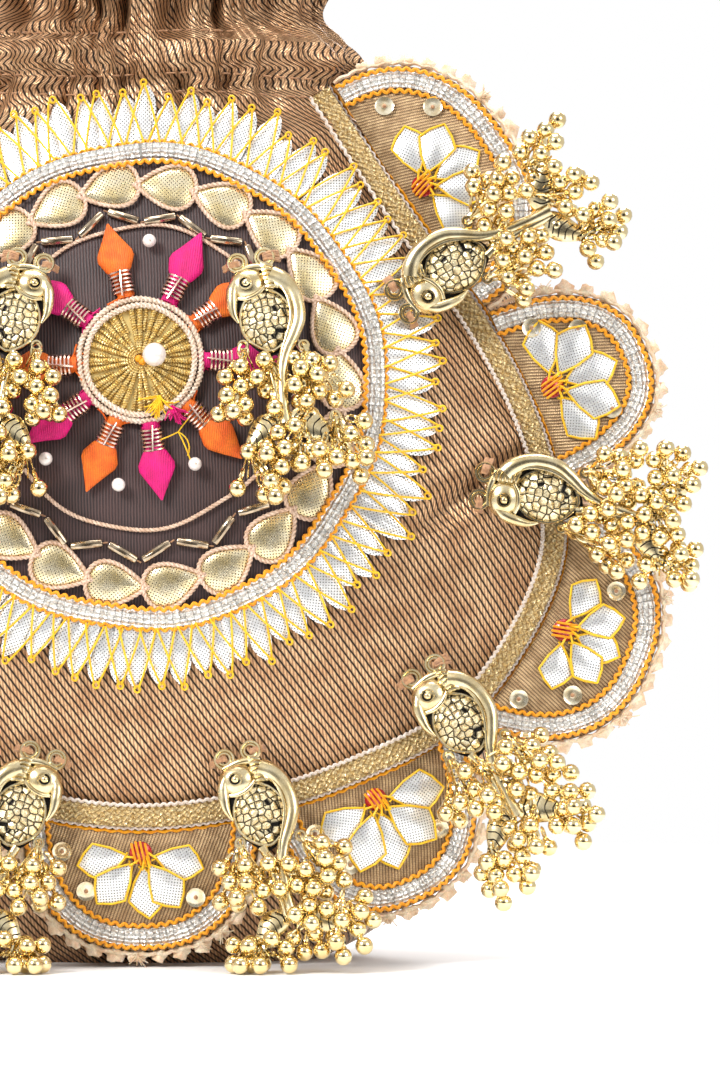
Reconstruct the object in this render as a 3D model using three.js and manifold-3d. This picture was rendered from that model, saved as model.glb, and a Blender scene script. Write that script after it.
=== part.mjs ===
// Embroidered potli: a stuffed drawstring pouch standing on its flattened base.
// Millimetres, +Z up, the decorated front faces -Y, the middle of the base near the origin.
import * as THREE from 'three';
import { mergeVertices } from 'three/addons/utils/BufferGeometryUtils.js';
import Module from 'manifold-3d';

// Pouch: half width and half depth of the cloth at each height, up to the top of the frill.
const pouchProfile = [
  { z: 0, width: 46, depth: 27 },
  { z: 8, width: 60, depth: 34 },
  { z: 26, width: 74, depth: 42 },
  { z: 60, width: 98, depth: 49 },
  { z: 100, width: 118, depth: 52 },
  { z: 130, width: 117, depth: 50 },
  { z: 160, width: 101, depth: 45 },
  { z: 190, width: 79, depth: 37 },
  { z: 212, width: 59, depth: 29 },
  { z: 223, width: 50, depth: 25 },
  { z: 234, width: 51, depth: 25 },
  { z: 242, width: 43, depth: 20 },
  { z: 253, width: 47, depth: 22 },
  { z: 276, width: 56, depth: 27 },
];
const sectionPower = 2.3;
const sidesAround = 28;
const pouchWall = 2;
const floorThickness = 1.6;
const liningGap = 1.2;
const liningWall = 1.4;
const liningTop = 262;
const outerLevels = [0, 5, 14, 30, 50, 75, 100, 125, 150, 172, 192, 210, 223, 229, 236, 242, 253, 276];
const innerLevels = [276, 253, 242, 236, 229, 223, 206, 180, 150, 115, 75, 35, 12];
const liningLevels = [14, 38, 75, 115, 150, 180, 206, 219, 225, 237, 242, 253, liningTop];

// Drawstring inside its channel, between the two stitch lines of the neck.
const channelLow = 224;
const channelHigh = 238;
const channelInset = 8.6;
const drawstringHeight = 231;
const drawstringInset = 5.3;
const drawstringRadius = 1.05;

// Round panel on the front: every ring is given by its inner and outer radius.
const panelHeight = 146.5;
const groundRadius = 56.6;
const groundThickness = 0.8;
const ribbonRing = { inner: 57, outer: 61, thickness: 1 };
const gotaFringe = { root: 61.4, valley: 70.5, tip: 75.5, leaves: 84, thickness: 1.2 };
const petalRing = { inner: 46.6, waist: 53, outer: 56, petals: 22, thickness: 1.2 };
const bugleRing = { low: 40.4, high: 44.6, beads: 30, width: 1.7, thickness: 1.7 };
const cordRing = { radius: 38, thickness: 0.7 };
const fringeStandoff = 1.9;
const discSides = 32;
const ringSides = 40;
const layerGap = 0.5;

// Flower in the middle of the panel.
const flowerHeight = 152.6;
const rosetteRadius = 13.4;
const rosetteThickness = 2;
const rimRadius = 15.2;
const rimThickness = 1.2;
const flowerSides = 20;
const centrePearl = { x: 3.65, z: 153.85, radius: 3 };
const budAngles = [346, 25, 55, 90, 134, 171, 202, 234, 266, 306];
const bud = { from: 17.6, length: 18.4, width: 6.6, thickness: 3.6 };
const smallPearls = [[2, 182.8], [-23.5, 127.8], [-5.3, 121.3], [13.8, 126.5]];
const smallPearlRadius = 1.7;

// Seam of the front panel, from the middle of its bottom up the right side to the neck.
const seamRight = [
  [0, 36.5], [30.5, 40.5], [56, 49], [80, 61.5], [97, 83], [105.3, 104],
  [104.5, 120], [97, 143], [85, 165], [66, 192], [46, 223],
];
const braidRadius = 1.5;
const braidStandoff = 1.1;
const braidSteps = 56;

// Scalloped flaps: the seam points that each one runs between, and how far it stands out.
const flapsRight = [
  { from: 1, to: 3, depth: 38 },
  { from: 3, to: 6, depth: 39.5 },
  { from: 6, to: 8, depth: 36 },
  { from: 8, to: 10, depth: 32 },
];
const bottomFlap = { from: -1, to: 1, depth: 36.5 };
const flapThickness = 1.8;
const flapSeamOffset = 2.4;
const flapPower = 2.4;
const flapLean = 0.12;

// Cast bird charms: origin in the middle between the two sewing loops, tail down.
const charmThickness = 3.4;
const loopSpacing = 3.45;
const loopOuter = 2.4;
const loopHole = 1.05;
const charmOutline = [
  [-3.6, 1.5], [-5.8, 4.4], [-6.4, 7.5], [-7, 11], [-6.6, 15.4], [-6.2, 19.5], [-3.4, 23.4],
  [-1.2, 25.5], [-1.3, 34], [-1.8, 41], [-4.8, 44.5], [-9.6, 47.2], [-10.2, 49.4], [-5.6, 49.2],
  [-0.6, 46.4], [4.6, 49], [9.4, 49.6], [10.6, 47.6], [6.8, 44.6], [3, 41.5], [2, 34],
  [3.6, 27.8], [7.6, 22], [9.6, 16.5], [9.4, 11], [7, 6], [3.6, 1.5],
];
const breast = { u: 0.4, v: 16.4, halfWidth: 5.6, halfLength: 7.4, halfThickness: 2.6 };

// Bells of one charm: two balls for each of its four bunches, strung on one wire around the tail.
const bellRadius = 2.5;
const bellWire = 0.45;
const bellsLeft = [[-8, 29], [-13.6, 36]];
const bellsRight = [[9.6, 31], [14.2, 38]];
const bellsTail = [[-14.4, 52], [-6.4, 57], [5.6, 57], [14.6, 52]];
const bellPivot = 22;

// Where each charm hangs: middle between its loops, turn from straight down, distance of the loops
// in front of the pouch, depth of its tail (Y), and the share of their full drop that the bells have.
// The left side is the mirror image of the right.
const charms = [
  { name: 'panel', x: 27.6, z: 177.5, turn: 12, loopStandoff: 8.6, tailY: -62, drop: 1 },
  { name: 'bottom', x: 24.3, z: 53.6, turn: 19, loopStandoff: 3.2, tailY: -63, drop: 0.86 },
  { name: 'lower', x: 70.9, z: 74.4, turn: 33, loopStandoff: 3.5, tailY: -55, drop: 0.95 },
  { name: 'side', x: 85.75, z: 121.1, turn: 78, loopStandoff: 3, tailY: -44, drop: 0.9 },
  { name: 'upper', x: 65.5, z: 167.5, turn: 121.6, loopStandoff: 6, tailY: -38.5, drop: 0.9 },
];
const charmLength = 50;

const wasm = await Module();
wasm.setup();

const materials = {
  cloth: { color: 0xb8865a, roughness: 0.45, metalness: 0.5 },
  lining: { color: 0x6b4a33, roughness: 0.8, metalness: 0 },
  ground: { color: 0x33201c, roughness: 0.6, metalness: 0.1 },
  silver: { color: 0xe8e6e2, roughness: 0.25, metalness: 0.9 },
  gold: { color: 0xe6cf9c, roughness: 0.3, metalness: 0.9 },
  bugle: { color: 0x8c7a5c, roughness: 0.2, metalness: 0.8 },
  cord: { color: 0xd9b89a, roughness: 0.7, metalness: 0.1 },
  braid: { color: 0xd0a765, roughness: 0.4, metalness: 0.6 },
  flap: { color: 0x9e8058, roughness: 0.5, metalness: 0.4 },
  orange: { color: 0xf28026, roughness: 0.8, metalness: 0 },
  magenta: { color: 0xec0094, roughness: 0.8, metalness: 0 },
  pearl: { color: 0xf2ece2, roughness: 0.2, metalness: 0 },
  brass: { color: 0xd9bd80, roughness: 0.25, metalness: 1 },
};

const group = new THREE.Group();

function addMesh(name, geometry, finish, parent = group) {
  const mesh = new THREE.Mesh(geometry, new THREE.MeshStandardMaterial(materials[finish]));
  mesh.name = name;
  parent.add(mesh);
  return mesh;
}

// Smooth value of one profile column at height z: a cubic between neighbouring rows.
function profileAt(column, z) {
  const rows = pouchProfile;
  const last = rows.length - 1;
  const height = Math.min(Math.max(z, rows[0].z), rows[last].z);
  let i = 0;
  while (i < last - 1 && rows[i + 1].z < height) i += 1;
  const slopeAt = (k) => {
    const low = rows[Math.max(k - 1, 0)];
    const high = rows[Math.min(k + 1, last)];
    return (high[column] - low[column]) / (high.z - low.z);
  };
  const span = rows[i + 1].z - rows[i].z;
  const t = (height - rows[i].z) / span;
  const start = rows[i][column];
  const end = rows[i + 1][column];
  const rise = end - start;
  const slopeStart = slopeAt(i) * span;
  const slopeEnd = slopeAt(i + 1) * span;
  const cubic = slopeStart + slopeEnd - 2 * rise;
  const square = 3 * rise - 2 * slopeStart - slopeEnd;
  return start + t * (slopeStart + t * (square + t * cubic));
}

// Front surface of the pouch at a point of the front view.
function frontY(x, z) {
  const across = Math.min(Math.abs(x) / profileAt('width', z), 1);
  const inside = 1 - across ** sectionPower;
  return -profileAt('depth', z) * inside ** (1 / sectionPower);
}

// Turns a lathe of half widths (about its own Y axis) into the oval section of the pouch.
function shapeSections(geometry) {
  geometry.rotateX(Math.PI / 2);
  const points = geometry.attributes.position;
  for (let i = 0; i < points.count; i += 1) {
    const x = points.getX(i);
    const y = points.getY(i);
    const z = points.getZ(i);
    const radius = Math.hypot(x, y);
    if (radius < 1e-6) continue;
    const ratio = profileAt('depth', z) / profileAt('width', z);
    const bend = (value) => Math.sign(value) * Math.abs(value / radius) ** (2 / sectionPower);
    points.setXYZ(i, radius * bend(x), radius * ratio * bend(y), z);
  }
  return geometry;
}

function latheOf(pairs, sides) {
  return new THREE.LatheGeometry(pairs.map(([r, h]) => new THREE.Vector2(r, h)), sides);
}

function addPouch() {
  const outer = outerLevels.map((z) => [profileAt('width', z), z]);
  const inner = innerLevels.map((z) => [profileAt('width', z) - pouchWall, z]);
  const floorEdge = [profileAt('width', 0) - pouchWall, floorThickness];
  const profile = [[0, 0], ...outer, ...inner, floorEdge, [0, floorThickness]];
  addMesh('pouch', shapeSections(latheOf(profile, sidesAround)), 'cloth');
}

// The lining hangs just inside the pouch and is drawn in behind the drawstring.
function addLining() {
  const insetAt = (z) => {
    const inChannel = z > channelLow && z < channelHigh;
    return inChannel ? channelInset : pouchWall + liningGap;
  };
  const floorLow = floorThickness + layerGap;
  const floorRadius = profileAt('width', 0) - pouchWall - liningGap;
  const outer = liningLevels.map((z) => [profileAt('width', z) - insetAt(z), z]);
  const inner = outer.map(([r, z]) => [r - liningWall, z]).reverse();
  const floorHigh = floorLow + liningWall;
  const profile = [
    [0, floorLow], [floorRadius, floorLow], ...outer, ...inner,
    [floorRadius - liningWall, floorHigh], [0, floorHigh],
  ];
  addMesh('lining', shapeSections(latheOf(profile, sidesAround)), 'lining');
}

// Closed cord that rings the neck inside its channel.
function addDrawstring() {
  const radius = profileAt('width', drawstringHeight) - drawstringInset;
  const ratio = profileAt('depth', drawstringHeight) / profileAt('width', drawstringHeight);
  const geometry = new THREE.TorusGeometry(radius, drawstringRadius, 5, sidesAround);
  const points = geometry.attributes.position;
  for (let i = 0; i < points.count; i += 1) {
    const x = points.getX(i);
    const y = points.getY(i);
    const flat = Math.hypot(x, y);
    const onCircle = radius / flat;
    const bend = (value) => Math.sign(value) * Math.abs(value / flat) ** (2 / sectionPower);
    const middleX = radius * bend(x);
    const middleY = radius * ratio * bend(y);
    points.setXY(i, middleX + x * (1 - onCircle), middleY + y * (1 - onCircle));
  }
  geometry.translate(0, 0, drawstringHeight);
  addMesh('neck_drawstring', geometry, 'cord');
}

// Lays a flat piece, built in the XZ plane with its back at y = 0, on the pouch's front.
function drape(geometry, standoff) {
  const points = geometry.attributes.position;
  for (let i = 0; i < points.count; i += 1) {
    const surface = frontY(points.getX(i), points.getZ(i));
    points.setY(i, points.getY(i) + surface - standoff);
  }
  return geometry;
}

// Flat extrusion standing in the XZ plane, its back at y = 0 and its face towards -Y.
function upright(shape, depth) {
  const options = { depth, bevelEnabled: false, curveSegments: 10 };
  return new THREE.ExtrudeGeometry(shape, options).rotateX(Math.PI / 2);
}

// Band or disc about the panel's middle, with a row of points for each radius.
function bandGeometry(radii, thickness, sides) {
  const back = radii.map((r) => [r, 0]);
  const face = radii.map((r) => [r, -thickness]).reverse();
  const first = radii[0] === 0 ? [] : [[radii[0], 0]];
  const loop = radii[0] === 0 ? [...back, ...face] : [...back, ...face, ...first];
  return latheOf(loop.reverse(), sides);
}

// Flat ring whose two edges are polygons, each given by its number of corners and their radii.
function ringShape(outerCount, outerAt, innerCount, innerAt) {
  const loop = (count, radiusAt) => {
    const points = [];
    for (let i = 0; i < count; i += 1) {
      const angle = (i / count) * 2 * Math.PI;
      const radius = radiusAt(i);
      points.push(new THREE.Vector2(radius * Math.cos(angle), radius * Math.sin(angle)));
    }
    return points;
  };
  const shape = new THREE.Shape(loop(outerCount, outerAt));
  shape.holes.push(new THREE.Path(loop(innerCount, innerAt)));
  return shape;
}

function addPanel() {
  const onPouch = layerGap;
  const onGround = layerGap + groundThickness + layerGap;
  const place = (name, geometry, standoff, finish) => {
    geometry.translate(0, 0, panelHeight);
    addMesh(name, drape(geometry, standoff), finish);
  };
  const groundRows = [0, groundRadius / 3, groundRadius / 1.5, groundRadius];
  place('medallion_ground', bandGeometry(groundRows, groundThickness, discSides), onPouch, 'ground');
  const { inner, outer, thickness } = ribbonRing;
  place('ribbon_ring', bandGeometry([inner, outer], thickness, ringSides), onPouch, 'silver');

  const leafStep = (i) => (i % 2 === 0 ? gotaFringe.tip : gotaFringe.valley);
  const { leaves, root } = gotaFringe;
  const fringe = ringShape(leaves * 2, leafStep, leaves / 2, () => root);
  place('gota_fringe', upright(fringe, gotaFringe.thickness), fringeStandoff, 'silver');

  const petalStep = (i) => (i % 3 === 0 ? petalRing.waist : petalRing.outer);
  const petalCount = petalRing.petals;
  const petals = ringShape(petalCount * 3, petalStep, petalCount * 2, () => petalRing.inner);
  place('petal_ring', upright(petals, petalRing.thickness), onGround + layerGap, 'gold');

  const zigzag = (i) => (i % 2 === 0 ? bugleRing.high : bugleRing.low);
  const outside = (i) => zigzag(i) + bugleRing.width / 2;
  const inside = (i) => zigzag(i) - bugleRing.width / 2;
  const bugles = ringShape(bugleRing.beads, outside, bugleRing.beads, inside);
  place('bugle_bead_ring', upright(bugles, bugleRing.thickness), onGround, 'bugle');

  const cord = new THREE.TorusGeometry(cordRing.radius, cordRing.thickness, 5, discSides);
  cord.rotateX(Math.PI / 2);
  place('cord_ring', cord, onGround + cordRing.thickness, 'cord');
}

// Pointed bud: a lathe of a petal outline, flattened, lying with its root at the flower.
function budGeometry() {
  const steps = 5;
  const profile = [[0, 0]];
  for (let i = 1; i < steps; i += 1) {
    const t = i / steps;
    profile.push([(bud.width / 2) * Math.sin(Math.PI * t ** 0.8) ** 0.8, bud.length * t]);
  }
  profile.push([0, bud.length]);
  return latheOf(profile, 8).scale(1, 1, bud.thickness / bud.width);
}

function addFlower() {
  const base = layerGap + groundThickness + layerGap;
  const addRound = (name, geometry, x, z, standoff, finish) => {
    const mesh = addMesh(name, geometry, finish);
    mesh.position.set(x, frontY(x, z) - standoff, z);
  };
  const disc = bandGeometry([0, rosetteRadius], rosetteThickness, flowerSides);
  addMesh('rosette', drape(disc.translate(0, 0, flowerHeight), base), 'gold');
  const rim = new THREE.TorusGeometry(rimRadius, rimThickness, 5, flowerSides).rotateX(Math.PI / 2);
  addMesh('rosette_rim', drape(rim.translate(0, 0, flowerHeight), base + rimThickness), 'cord');
  const pearl = new THREE.SphereGeometry(centrePearl.radius, 10, 6);
  const pearlStandoff = base + rosetteThickness + centrePearl.radius + layerGap;
  addRound('centre_pearl', pearl, centrePearl.x, centrePearl.z, pearlStandoff, 'pearl');
  smallPearls.forEach(([x, z], i) => {
    const small = new THREE.SphereGeometry(smallPearlRadius, 8, 5);
    const standoff = base + smallPearlRadius + layerGap;
    addRound(`small_pearl_${i + 1}`, small, x, z, standoff, 'pearl');
  });
  budAngles.forEach((degrees, i) => {
    const angle = THREE.MathUtils.degToRad(degrees);
    const along = (distance) => {
      const x = distance * Math.sin(angle);
      const z = flowerHeight + distance * Math.cos(angle);
      return new THREE.Vector3(x, frontY(x, z), z);
    };
    const root = along(bud.from);
    const tip = along(bud.from + bud.length);
    const lengthwise = tip.clone().sub(root).normalize();
    const across = new THREE.Vector3(0, -1, 0).cross(lengthwise).normalize();
    const outward = across.clone().cross(lengthwise);
    const lift = base + bud.thickness / 2 + layerGap;
    const geometry = budGeometry();
    geometry.applyMatrix4(new THREE.Matrix4().makeBasis(across, lengthwise, outward));
    const mesh = addMesh(`bud_${i + 1}`, geometry, i % 2 === 0 ? 'orange' : 'magenta');
    mesh.position.set(root.x, root.y - lift, root.z);
  });
}

// Seam curve in the front view, left neck to right neck; seam point i is at its middle plus i.
const seamHalf = seamRight.length - 1;
const seamLeft = seamRight.slice(1).map(([x, z]) => [-x, z]).reverse();
const seamCurve = new THREE.CatmullRomCurve3(
  [...seamLeft, ...seamRight].map(([x, z]) => new THREE.Vector3(x, 0, z)),
);

function seamPoint(index) {
  const point = seamCurve.getPoint((index + seamHalf) / (2 * seamHalf));
  point.y = frontY(point.x, point.z);
  return point;
}

function addBraid() {
  const points = [];
  for (let i = 0; i <= braidSteps; i += 1) {
    const index = -seamHalf + (2 * seamHalf * i) / braidSteps;
    const point = seamPoint(index);
    const ahead = seamPoint(Math.min(index + 0.1, seamHalf));
    const behind = seamPoint(Math.max(index - 0.1, -seamHalf));
    const tangent = ahead.clone().sub(behind);
    const inward = new THREE.Vector3(-tangent.z, 0, tangent.x).normalize();
    point.addScaledVector(inward, braidRadius);
    point.y = frontY(point.x, point.z) - braidRadius - braidStandoff;
    points.push(point);
  }
  const section = new THREE.Shape();
  section.absarc(0, 0, braidRadius, 0, 2 * Math.PI);
  const options = { extrudePath: new THREE.CatmullRomCurve3(points), steps: braidSteps, curveSegments: 3 };
  addMesh('seam_braid', new THREE.ExtrudeGeometry(section, options), 'braid');
}

// One flap: a flat plate from just outside the seam to a rounded edge.
function addFlap(name, { from, to, depth }) {
  const start = seamPoint(from);
  const end = seamPoint(to);
  const middle = start.clone().add(end).multiplyScalar(0.5);
  const along = end.clone().sub(start);
  const halfChord = along.length() / 2 - 0.6;
  along.normalize();
  const outward = new THREE.Vector3(along.z, flapLean, -along.x);
  outward.addScaledVector(along, -outward.dot(along)).normalize();
  const backward = along.clone().cross(outward);
  const toPlate = (point) => {
    const offset = point.clone().sub(middle);
    return { s: offset.dot(along), n: offset.dot(outward) };
  };
  const outline = [];
  const edgeSteps = 8;
  for (let i = 0; i <= edgeSteps; i += 1) {
    const t = i / edgeSteps;
    const { s, n } = toPlate(seamPoint(from + (to - from) * t));
    const limited = Math.min(Math.max(s, -halfChord), halfChord);
    outline.push(new THREE.Vector2(limited, n + flapSeamOffset));
  }
  const arcSteps = 18;
  for (let i = 1; i < arcSteps; i += 1) {
    const angle = (i / arcSteps) * Math.PI;
    const c = Math.cos(angle);
    const s = halfChord * Math.sign(c) * Math.abs(c) ** (2 / flapPower);
    const n = depth * Math.sin(angle) ** (2 / flapPower);
    if (n > flapSeamOffset + 2) outline.push(new THREE.Vector2(s, n));
  }
  // The plate moves forward until every point of it clears the pouch's front.
  const clearance = 0.5;
  let forward = 0;
  for (const { x: s, y: n } of outline) {
    const x = middle.x + along.x * s + outward.x * n;
    const y = middle.y + along.y * s + outward.y * n;
    const z = middle.z + along.z * s + outward.z * n;
    if (Math.abs(x) < profileAt('width', z)) forward = Math.max(forward, y - frontY(x, z));
  }
  const geometry = new THREE.ExtrudeGeometry(new THREE.Shape(outline), {
    depth: flapThickness,
    bevelEnabled: false,
  });
  geometry.applyMatrix4(new THREE.Matrix4().makeBasis(along, outward, backward));
  const mesh = addMesh(name, geometry, 'flap');
  mesh.position.copy(middle);
  mesh.position.y -= forward + clearance + flapThickness;
}

// Mirror image in x, with every triangle reversed so that its faces still point out.
function mirrorOf(geometry) {
  const flat = geometry.index ? geometry.toNonIndexed() : geometry.clone();
  flat.scale(-1, 1, 1);
  const points = flat.attributes.position.array;
  for (let i = 0; i < points.length; i += 9) {
    for (let k = 0; k < 3; k += 1) {
      const swap = points[i + 3 + k];
      points[i + 3 + k] = points[i + 6 + k];
      points[i + 6 + k] = swap;
    }
  }
  return flat;
}

function addFlaps() {
  addFlap('flap_bottom', bottomFlap);
  const names = ['lower', 'side', 'upper', 'top'];
  flapsRight.forEach((flap, i) => {
    addFlap(`flap_${names[i]}_right`, flap);
    addFlap(`flap_${names[i]}_left`, { from: -flap.to, to: -flap.from, depth: flap.depth });
  });
}

// Solid from a geometry whose shared corners are merged, and back again after joining.
function solidOf(geometry) {
  const plain = geometry.clone();
  plain.deleteAttribute('normal');
  plain.deleteAttribute('uv');
  const merged = mergeVertices(plain, 1e-4);
  const vertProperties = new Float32Array(merged.attributes.position.array);
  const triVerts = new Uint32Array(merged.index.array);
  return new wasm.Manifold(new wasm.Mesh({ numProp: 3, vertProperties, triVerts }));
}

function geometryOf(solid) {
  const mesh = solid.getMesh();
  const geometry = new THREE.BufferGeometry();
  geometry.setAttribute('position', new THREE.BufferAttribute(mesh.vertProperties, 3));
  geometry.setIndex(new THREE.BufferAttribute(mesh.triVerts, 1));
  return geometry;
}

function joined(geometries) {
  const whole = geometries.map(solidOf).reduce((sum, next) => sum.add(next));
  return geometryOf(whole);
}

// Bird casting in the XZ plane: u to the right, v down from the loops, middle plane at y = 0.
function charmGeometry() {
  const outline = charmOutline.map(([u, v]) => new THREE.Vector2(u, -v));
  const plate = upright(new THREE.Shape(outline.reverse()), charmThickness);
  plate.translate(0, charmThickness / 2, 0);
  const loops = [-loopSpacing, loopSpacing].map((u) => {
    const shape = new THREE.Shape();
    shape.absarc(u, 0, loopOuter, 0, 2 * Math.PI);
    const hole = new THREE.Path();
    hole.absarc(u, 0, loopHole, 0, 2 * Math.PI);
    shape.holes.push(hole);
    const options = { depth: 2, bevelEnabled: false, curveSegments: 4 };
    return new THREE.ExtrudeGeometry(shape, options).rotateX(Math.PI / 2).translate(0, 1, 0);
  });
  const body = new THREE.SphereGeometry(1, 6, 4);
  body.scale(breast.halfWidth, breast.halfThickness, breast.halfLength);
  body.translate(breast.u, 0, -breast.v);
  return joined([plate, body, ...loops]);
}

// Bells of one charm, in the charm's own frame: balls strung on one bent wire.
function bellGeometry(drop) {
  const shift = (v) => bellPivot + 4 + (v - bellPivot - 4) * drop;
  const order = [...bellsLeft, ...bellsTail, ...[...bellsRight].reverse()];
  const centres = order.map(([u, v]) => new THREE.Vector3(u, 0, -shift(v)));
  const section = new THREE.Shape();
  section.absarc(0, 0, bellWire, 0, 2 * Math.PI);
  const rod = new THREE.ExtrudeGeometry(section, {
    extrudePath: new THREE.CatmullRomCurve3(centres, false, 'centripetal'),
    steps: 9,
    curveSegments: 2,
  });
  const balls = centres.map((point) => {
    const ball = new THREE.OctahedronGeometry(bellRadius, 0);
    return ball.rotateY(0.3).rotateX(0.5).translate(point.x, point.y, point.z);
  });
  return joined([rod, ...balls]);
}

function addCharms() {
  const casting = charmGeometry();
  for (const charm of charms) {
    const strung = bellGeometry(charm.drop);
    const turn = THREE.MathUtils.degToRad(charm.turn);
    const loopY = frontY(charm.x, charm.z) - charm.loopStandoff;
    const lean = Math.asin((loopY - charm.tailY) / charmLength);
    for (const side of [1, -1]) {
      const label = side > 0 ? 'right' : 'left';
      const holder = new THREE.Group();
      holder.position.set(side * charm.x, loopY, charm.z);
      holder.rotation.set(-lean, -side * turn, 0, 'YXZ');
      group.add(holder);
      const onSide = (geometry) => (side > 0 ? geometry.clone() : mirrorOf(geometry));
      addMesh(`charm_${charm.name}_${label}`, onSide(casting), 'brass', holder);
      addMesh(`bells_${charm.name}_${label}`, onSide(strung), 'brass', holder);
    }
  }
}

addPouch();
addLining();
addDrawstring();
addPanel();
addFlower();
addBraid();
addFlaps();
addCharms();

// The origin is below the middle of the whole bag, so the build above is moved back a little.
const extent = new THREE.Box3().setFromObject(group);
group.position.y = -(extent.min.y + extent.max.y) / 2;

export default group;
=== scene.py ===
import math
import bpy
import numpy as np
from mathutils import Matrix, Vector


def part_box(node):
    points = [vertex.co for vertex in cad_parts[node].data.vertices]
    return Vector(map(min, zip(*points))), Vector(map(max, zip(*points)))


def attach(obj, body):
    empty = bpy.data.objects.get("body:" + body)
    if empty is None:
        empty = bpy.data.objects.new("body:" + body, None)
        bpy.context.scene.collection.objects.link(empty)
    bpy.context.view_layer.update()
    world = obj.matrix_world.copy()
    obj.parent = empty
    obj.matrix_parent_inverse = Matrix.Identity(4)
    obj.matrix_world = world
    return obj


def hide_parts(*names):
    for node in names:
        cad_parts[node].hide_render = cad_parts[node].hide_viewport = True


# Embroidered potli bag. Shapes are worked out in millimetres and put in as metres.
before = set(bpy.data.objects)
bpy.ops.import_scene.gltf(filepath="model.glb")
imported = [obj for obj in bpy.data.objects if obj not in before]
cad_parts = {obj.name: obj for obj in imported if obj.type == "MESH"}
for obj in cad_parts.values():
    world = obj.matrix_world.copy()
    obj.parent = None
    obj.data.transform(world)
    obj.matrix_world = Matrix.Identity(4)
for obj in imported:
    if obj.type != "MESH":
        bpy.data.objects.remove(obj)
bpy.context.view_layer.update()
pouchLow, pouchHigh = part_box("pouch")
middleY = 500 * (pouchLow[1] + pouchHigh[1])
front = np.array([0.0, -1.0, 0.0])
pi = math.pi


def unit(vectors):
    return vectors / np.maximum(np.linalg.norm(vectors, axis=-1, keepdims=True), 1e-9)


def smoothStep(low, high, value):
    t = np.clip((value - low) / (high - low), 0, 1)
    return t * t * (3 - 2 * t)


# Angles of so many even steps round a full turn.
def roundTurn(count):
    return 2 * pi * np.arange(count) / count


# Skin over stacks of rings, points[stack, ring, side]: quads join neighbouring rings and a fan fills
# each end ring, or the last ring joins the first. A stack with negative volume is turned round.
def skin(points, finish, closed=False, uv=None):
    points = np.asarray(points, float)
    if points.ndim == 3:
        points = points[None]
    stacks, rings, sides = points.shape[:3]
    index = np.arange(stacks * rings * sides).reshape(stacks, rings, sides)
    seamIndex = np.arange(stacks * rings * (sides + 1)).reshape(stacks, rings, sides + 1)
    near, far = (index, np.roll(index, -1, 1)) if closed else (index[:, :-1], index[:, 1:])
    nearUv, farUv = ((seamIndex, np.roll(seamIndex, -1, 1)) if closed
                     else (seamIndex[:, :-1], seamIndex[:, 1:]))
    quads = np.stack([near, np.roll(near, -1, 2), np.roll(far, -1, 2), far], -1).reshape(stacks, -1, 4)
    quadUv = np.stack([nearUv[..., :-1], nearUv[..., 1:], farUv[..., 1:], farUv[..., :-1]], -1)
    quadUv = quadUv.reshape(stacks, -1, 4)
    tris, triUv = np.zeros((stacks, 0, 3), int), np.zeros((stacks, 0, 3), int)
    if not closed:
        fans, fansUv = [], []
        for ring, order in ((0, (0, 2, 1)), (-1, (0, 1, 2))):
            for source, store in ((index, fans), (seamIndex[..., :-1], fansUv)):
                row = source[:, ring]
                first = np.broadcast_to(row[:, :1], row[:, 1:-1].shape)
                store.append(np.stack([first, row[:, 1:-1], row[:, 2:]], -1)[..., order])
        tris, triUv = np.concatenate(fans, 1), np.concatenate(fansUv, 1)
    flat = points.reshape(-1, 3)
    middle = points.mean((1, 2))[:, None]
    a, b, c, d = (flat[quads[..., k]] - middle for k in range(4))
    volume = (a * (np.cross(b, c) + np.cross(c, d))).sum((1, 2))
    if tris.shape[1]:
        a, b, c = (flat[tris[..., k]] - middle for k in range(3))
        volume = volume + (a * np.cross(b, c)).sum((1, 2))
    for faces in (quads, quadUv, tris, triUv):
        faces[volume < 0] = faces[volume < 0][..., ::-1]
    if uv is None:
        uv = np.zeros((stacks, rings, sides + 1, 2))
    flatUv = np.broadcast_to(uv, (stacks, rings, sides + 1, 2)).reshape(-1, 2)
    return {"points": flat, "quads": quads.reshape(-1, 4), "tris": tris.reshape(-1, 3), "finish": finish,
            "quadUv": flatUv[quadUv.reshape(-1, 4)], "triUv": flatUv[triUv.reshape(-1, 3)]}


# Section carried along paths[k, point]: its first axis lies across the path and square to `facing`,
# its second stands up from the surface. Lengths along and round the section go to the UV map.
def sweep(paths, section, finish, facing=front, closed=False):
    paths = np.asarray(paths, float)
    if paths.ndim == 2:
        paths = paths[None]
    step = np.roll(paths, -1, 1) - np.roll(paths, 1, 1) if closed else np.gradient(paths, axis=1)
    along = unit(step)
    across = unit(np.cross(along, facing))
    lift = np.cross(across, along)
    section = np.asarray(section, float)
    points = (paths[:, :, None] + across[:, :, None] * section[..., :1] + lift[:, :, None] * section[..., 1:])
    gaps = np.linalg.norm(np.diff(paths, axis=1, prepend=paths[:, :1]), axis=-1)
    arc = np.cumsum(gaps, 1)
    edge = np.linalg.norm(section - np.roll(section, 1, -2), axis=-1)
    around = np.cumsum(edge, -1) - edge[..., :1]
    around = np.concatenate([around, around[..., -1:] + edge[..., :1]], -1)
    sides = section.shape[-2]
    uv = np.zeros((*paths.shape[:2], sides + 1, 2))
    uv[..., 0] = arc[..., None]
    uv[..., 1] = around
    return skin(points, finish, closed, uv)


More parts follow.
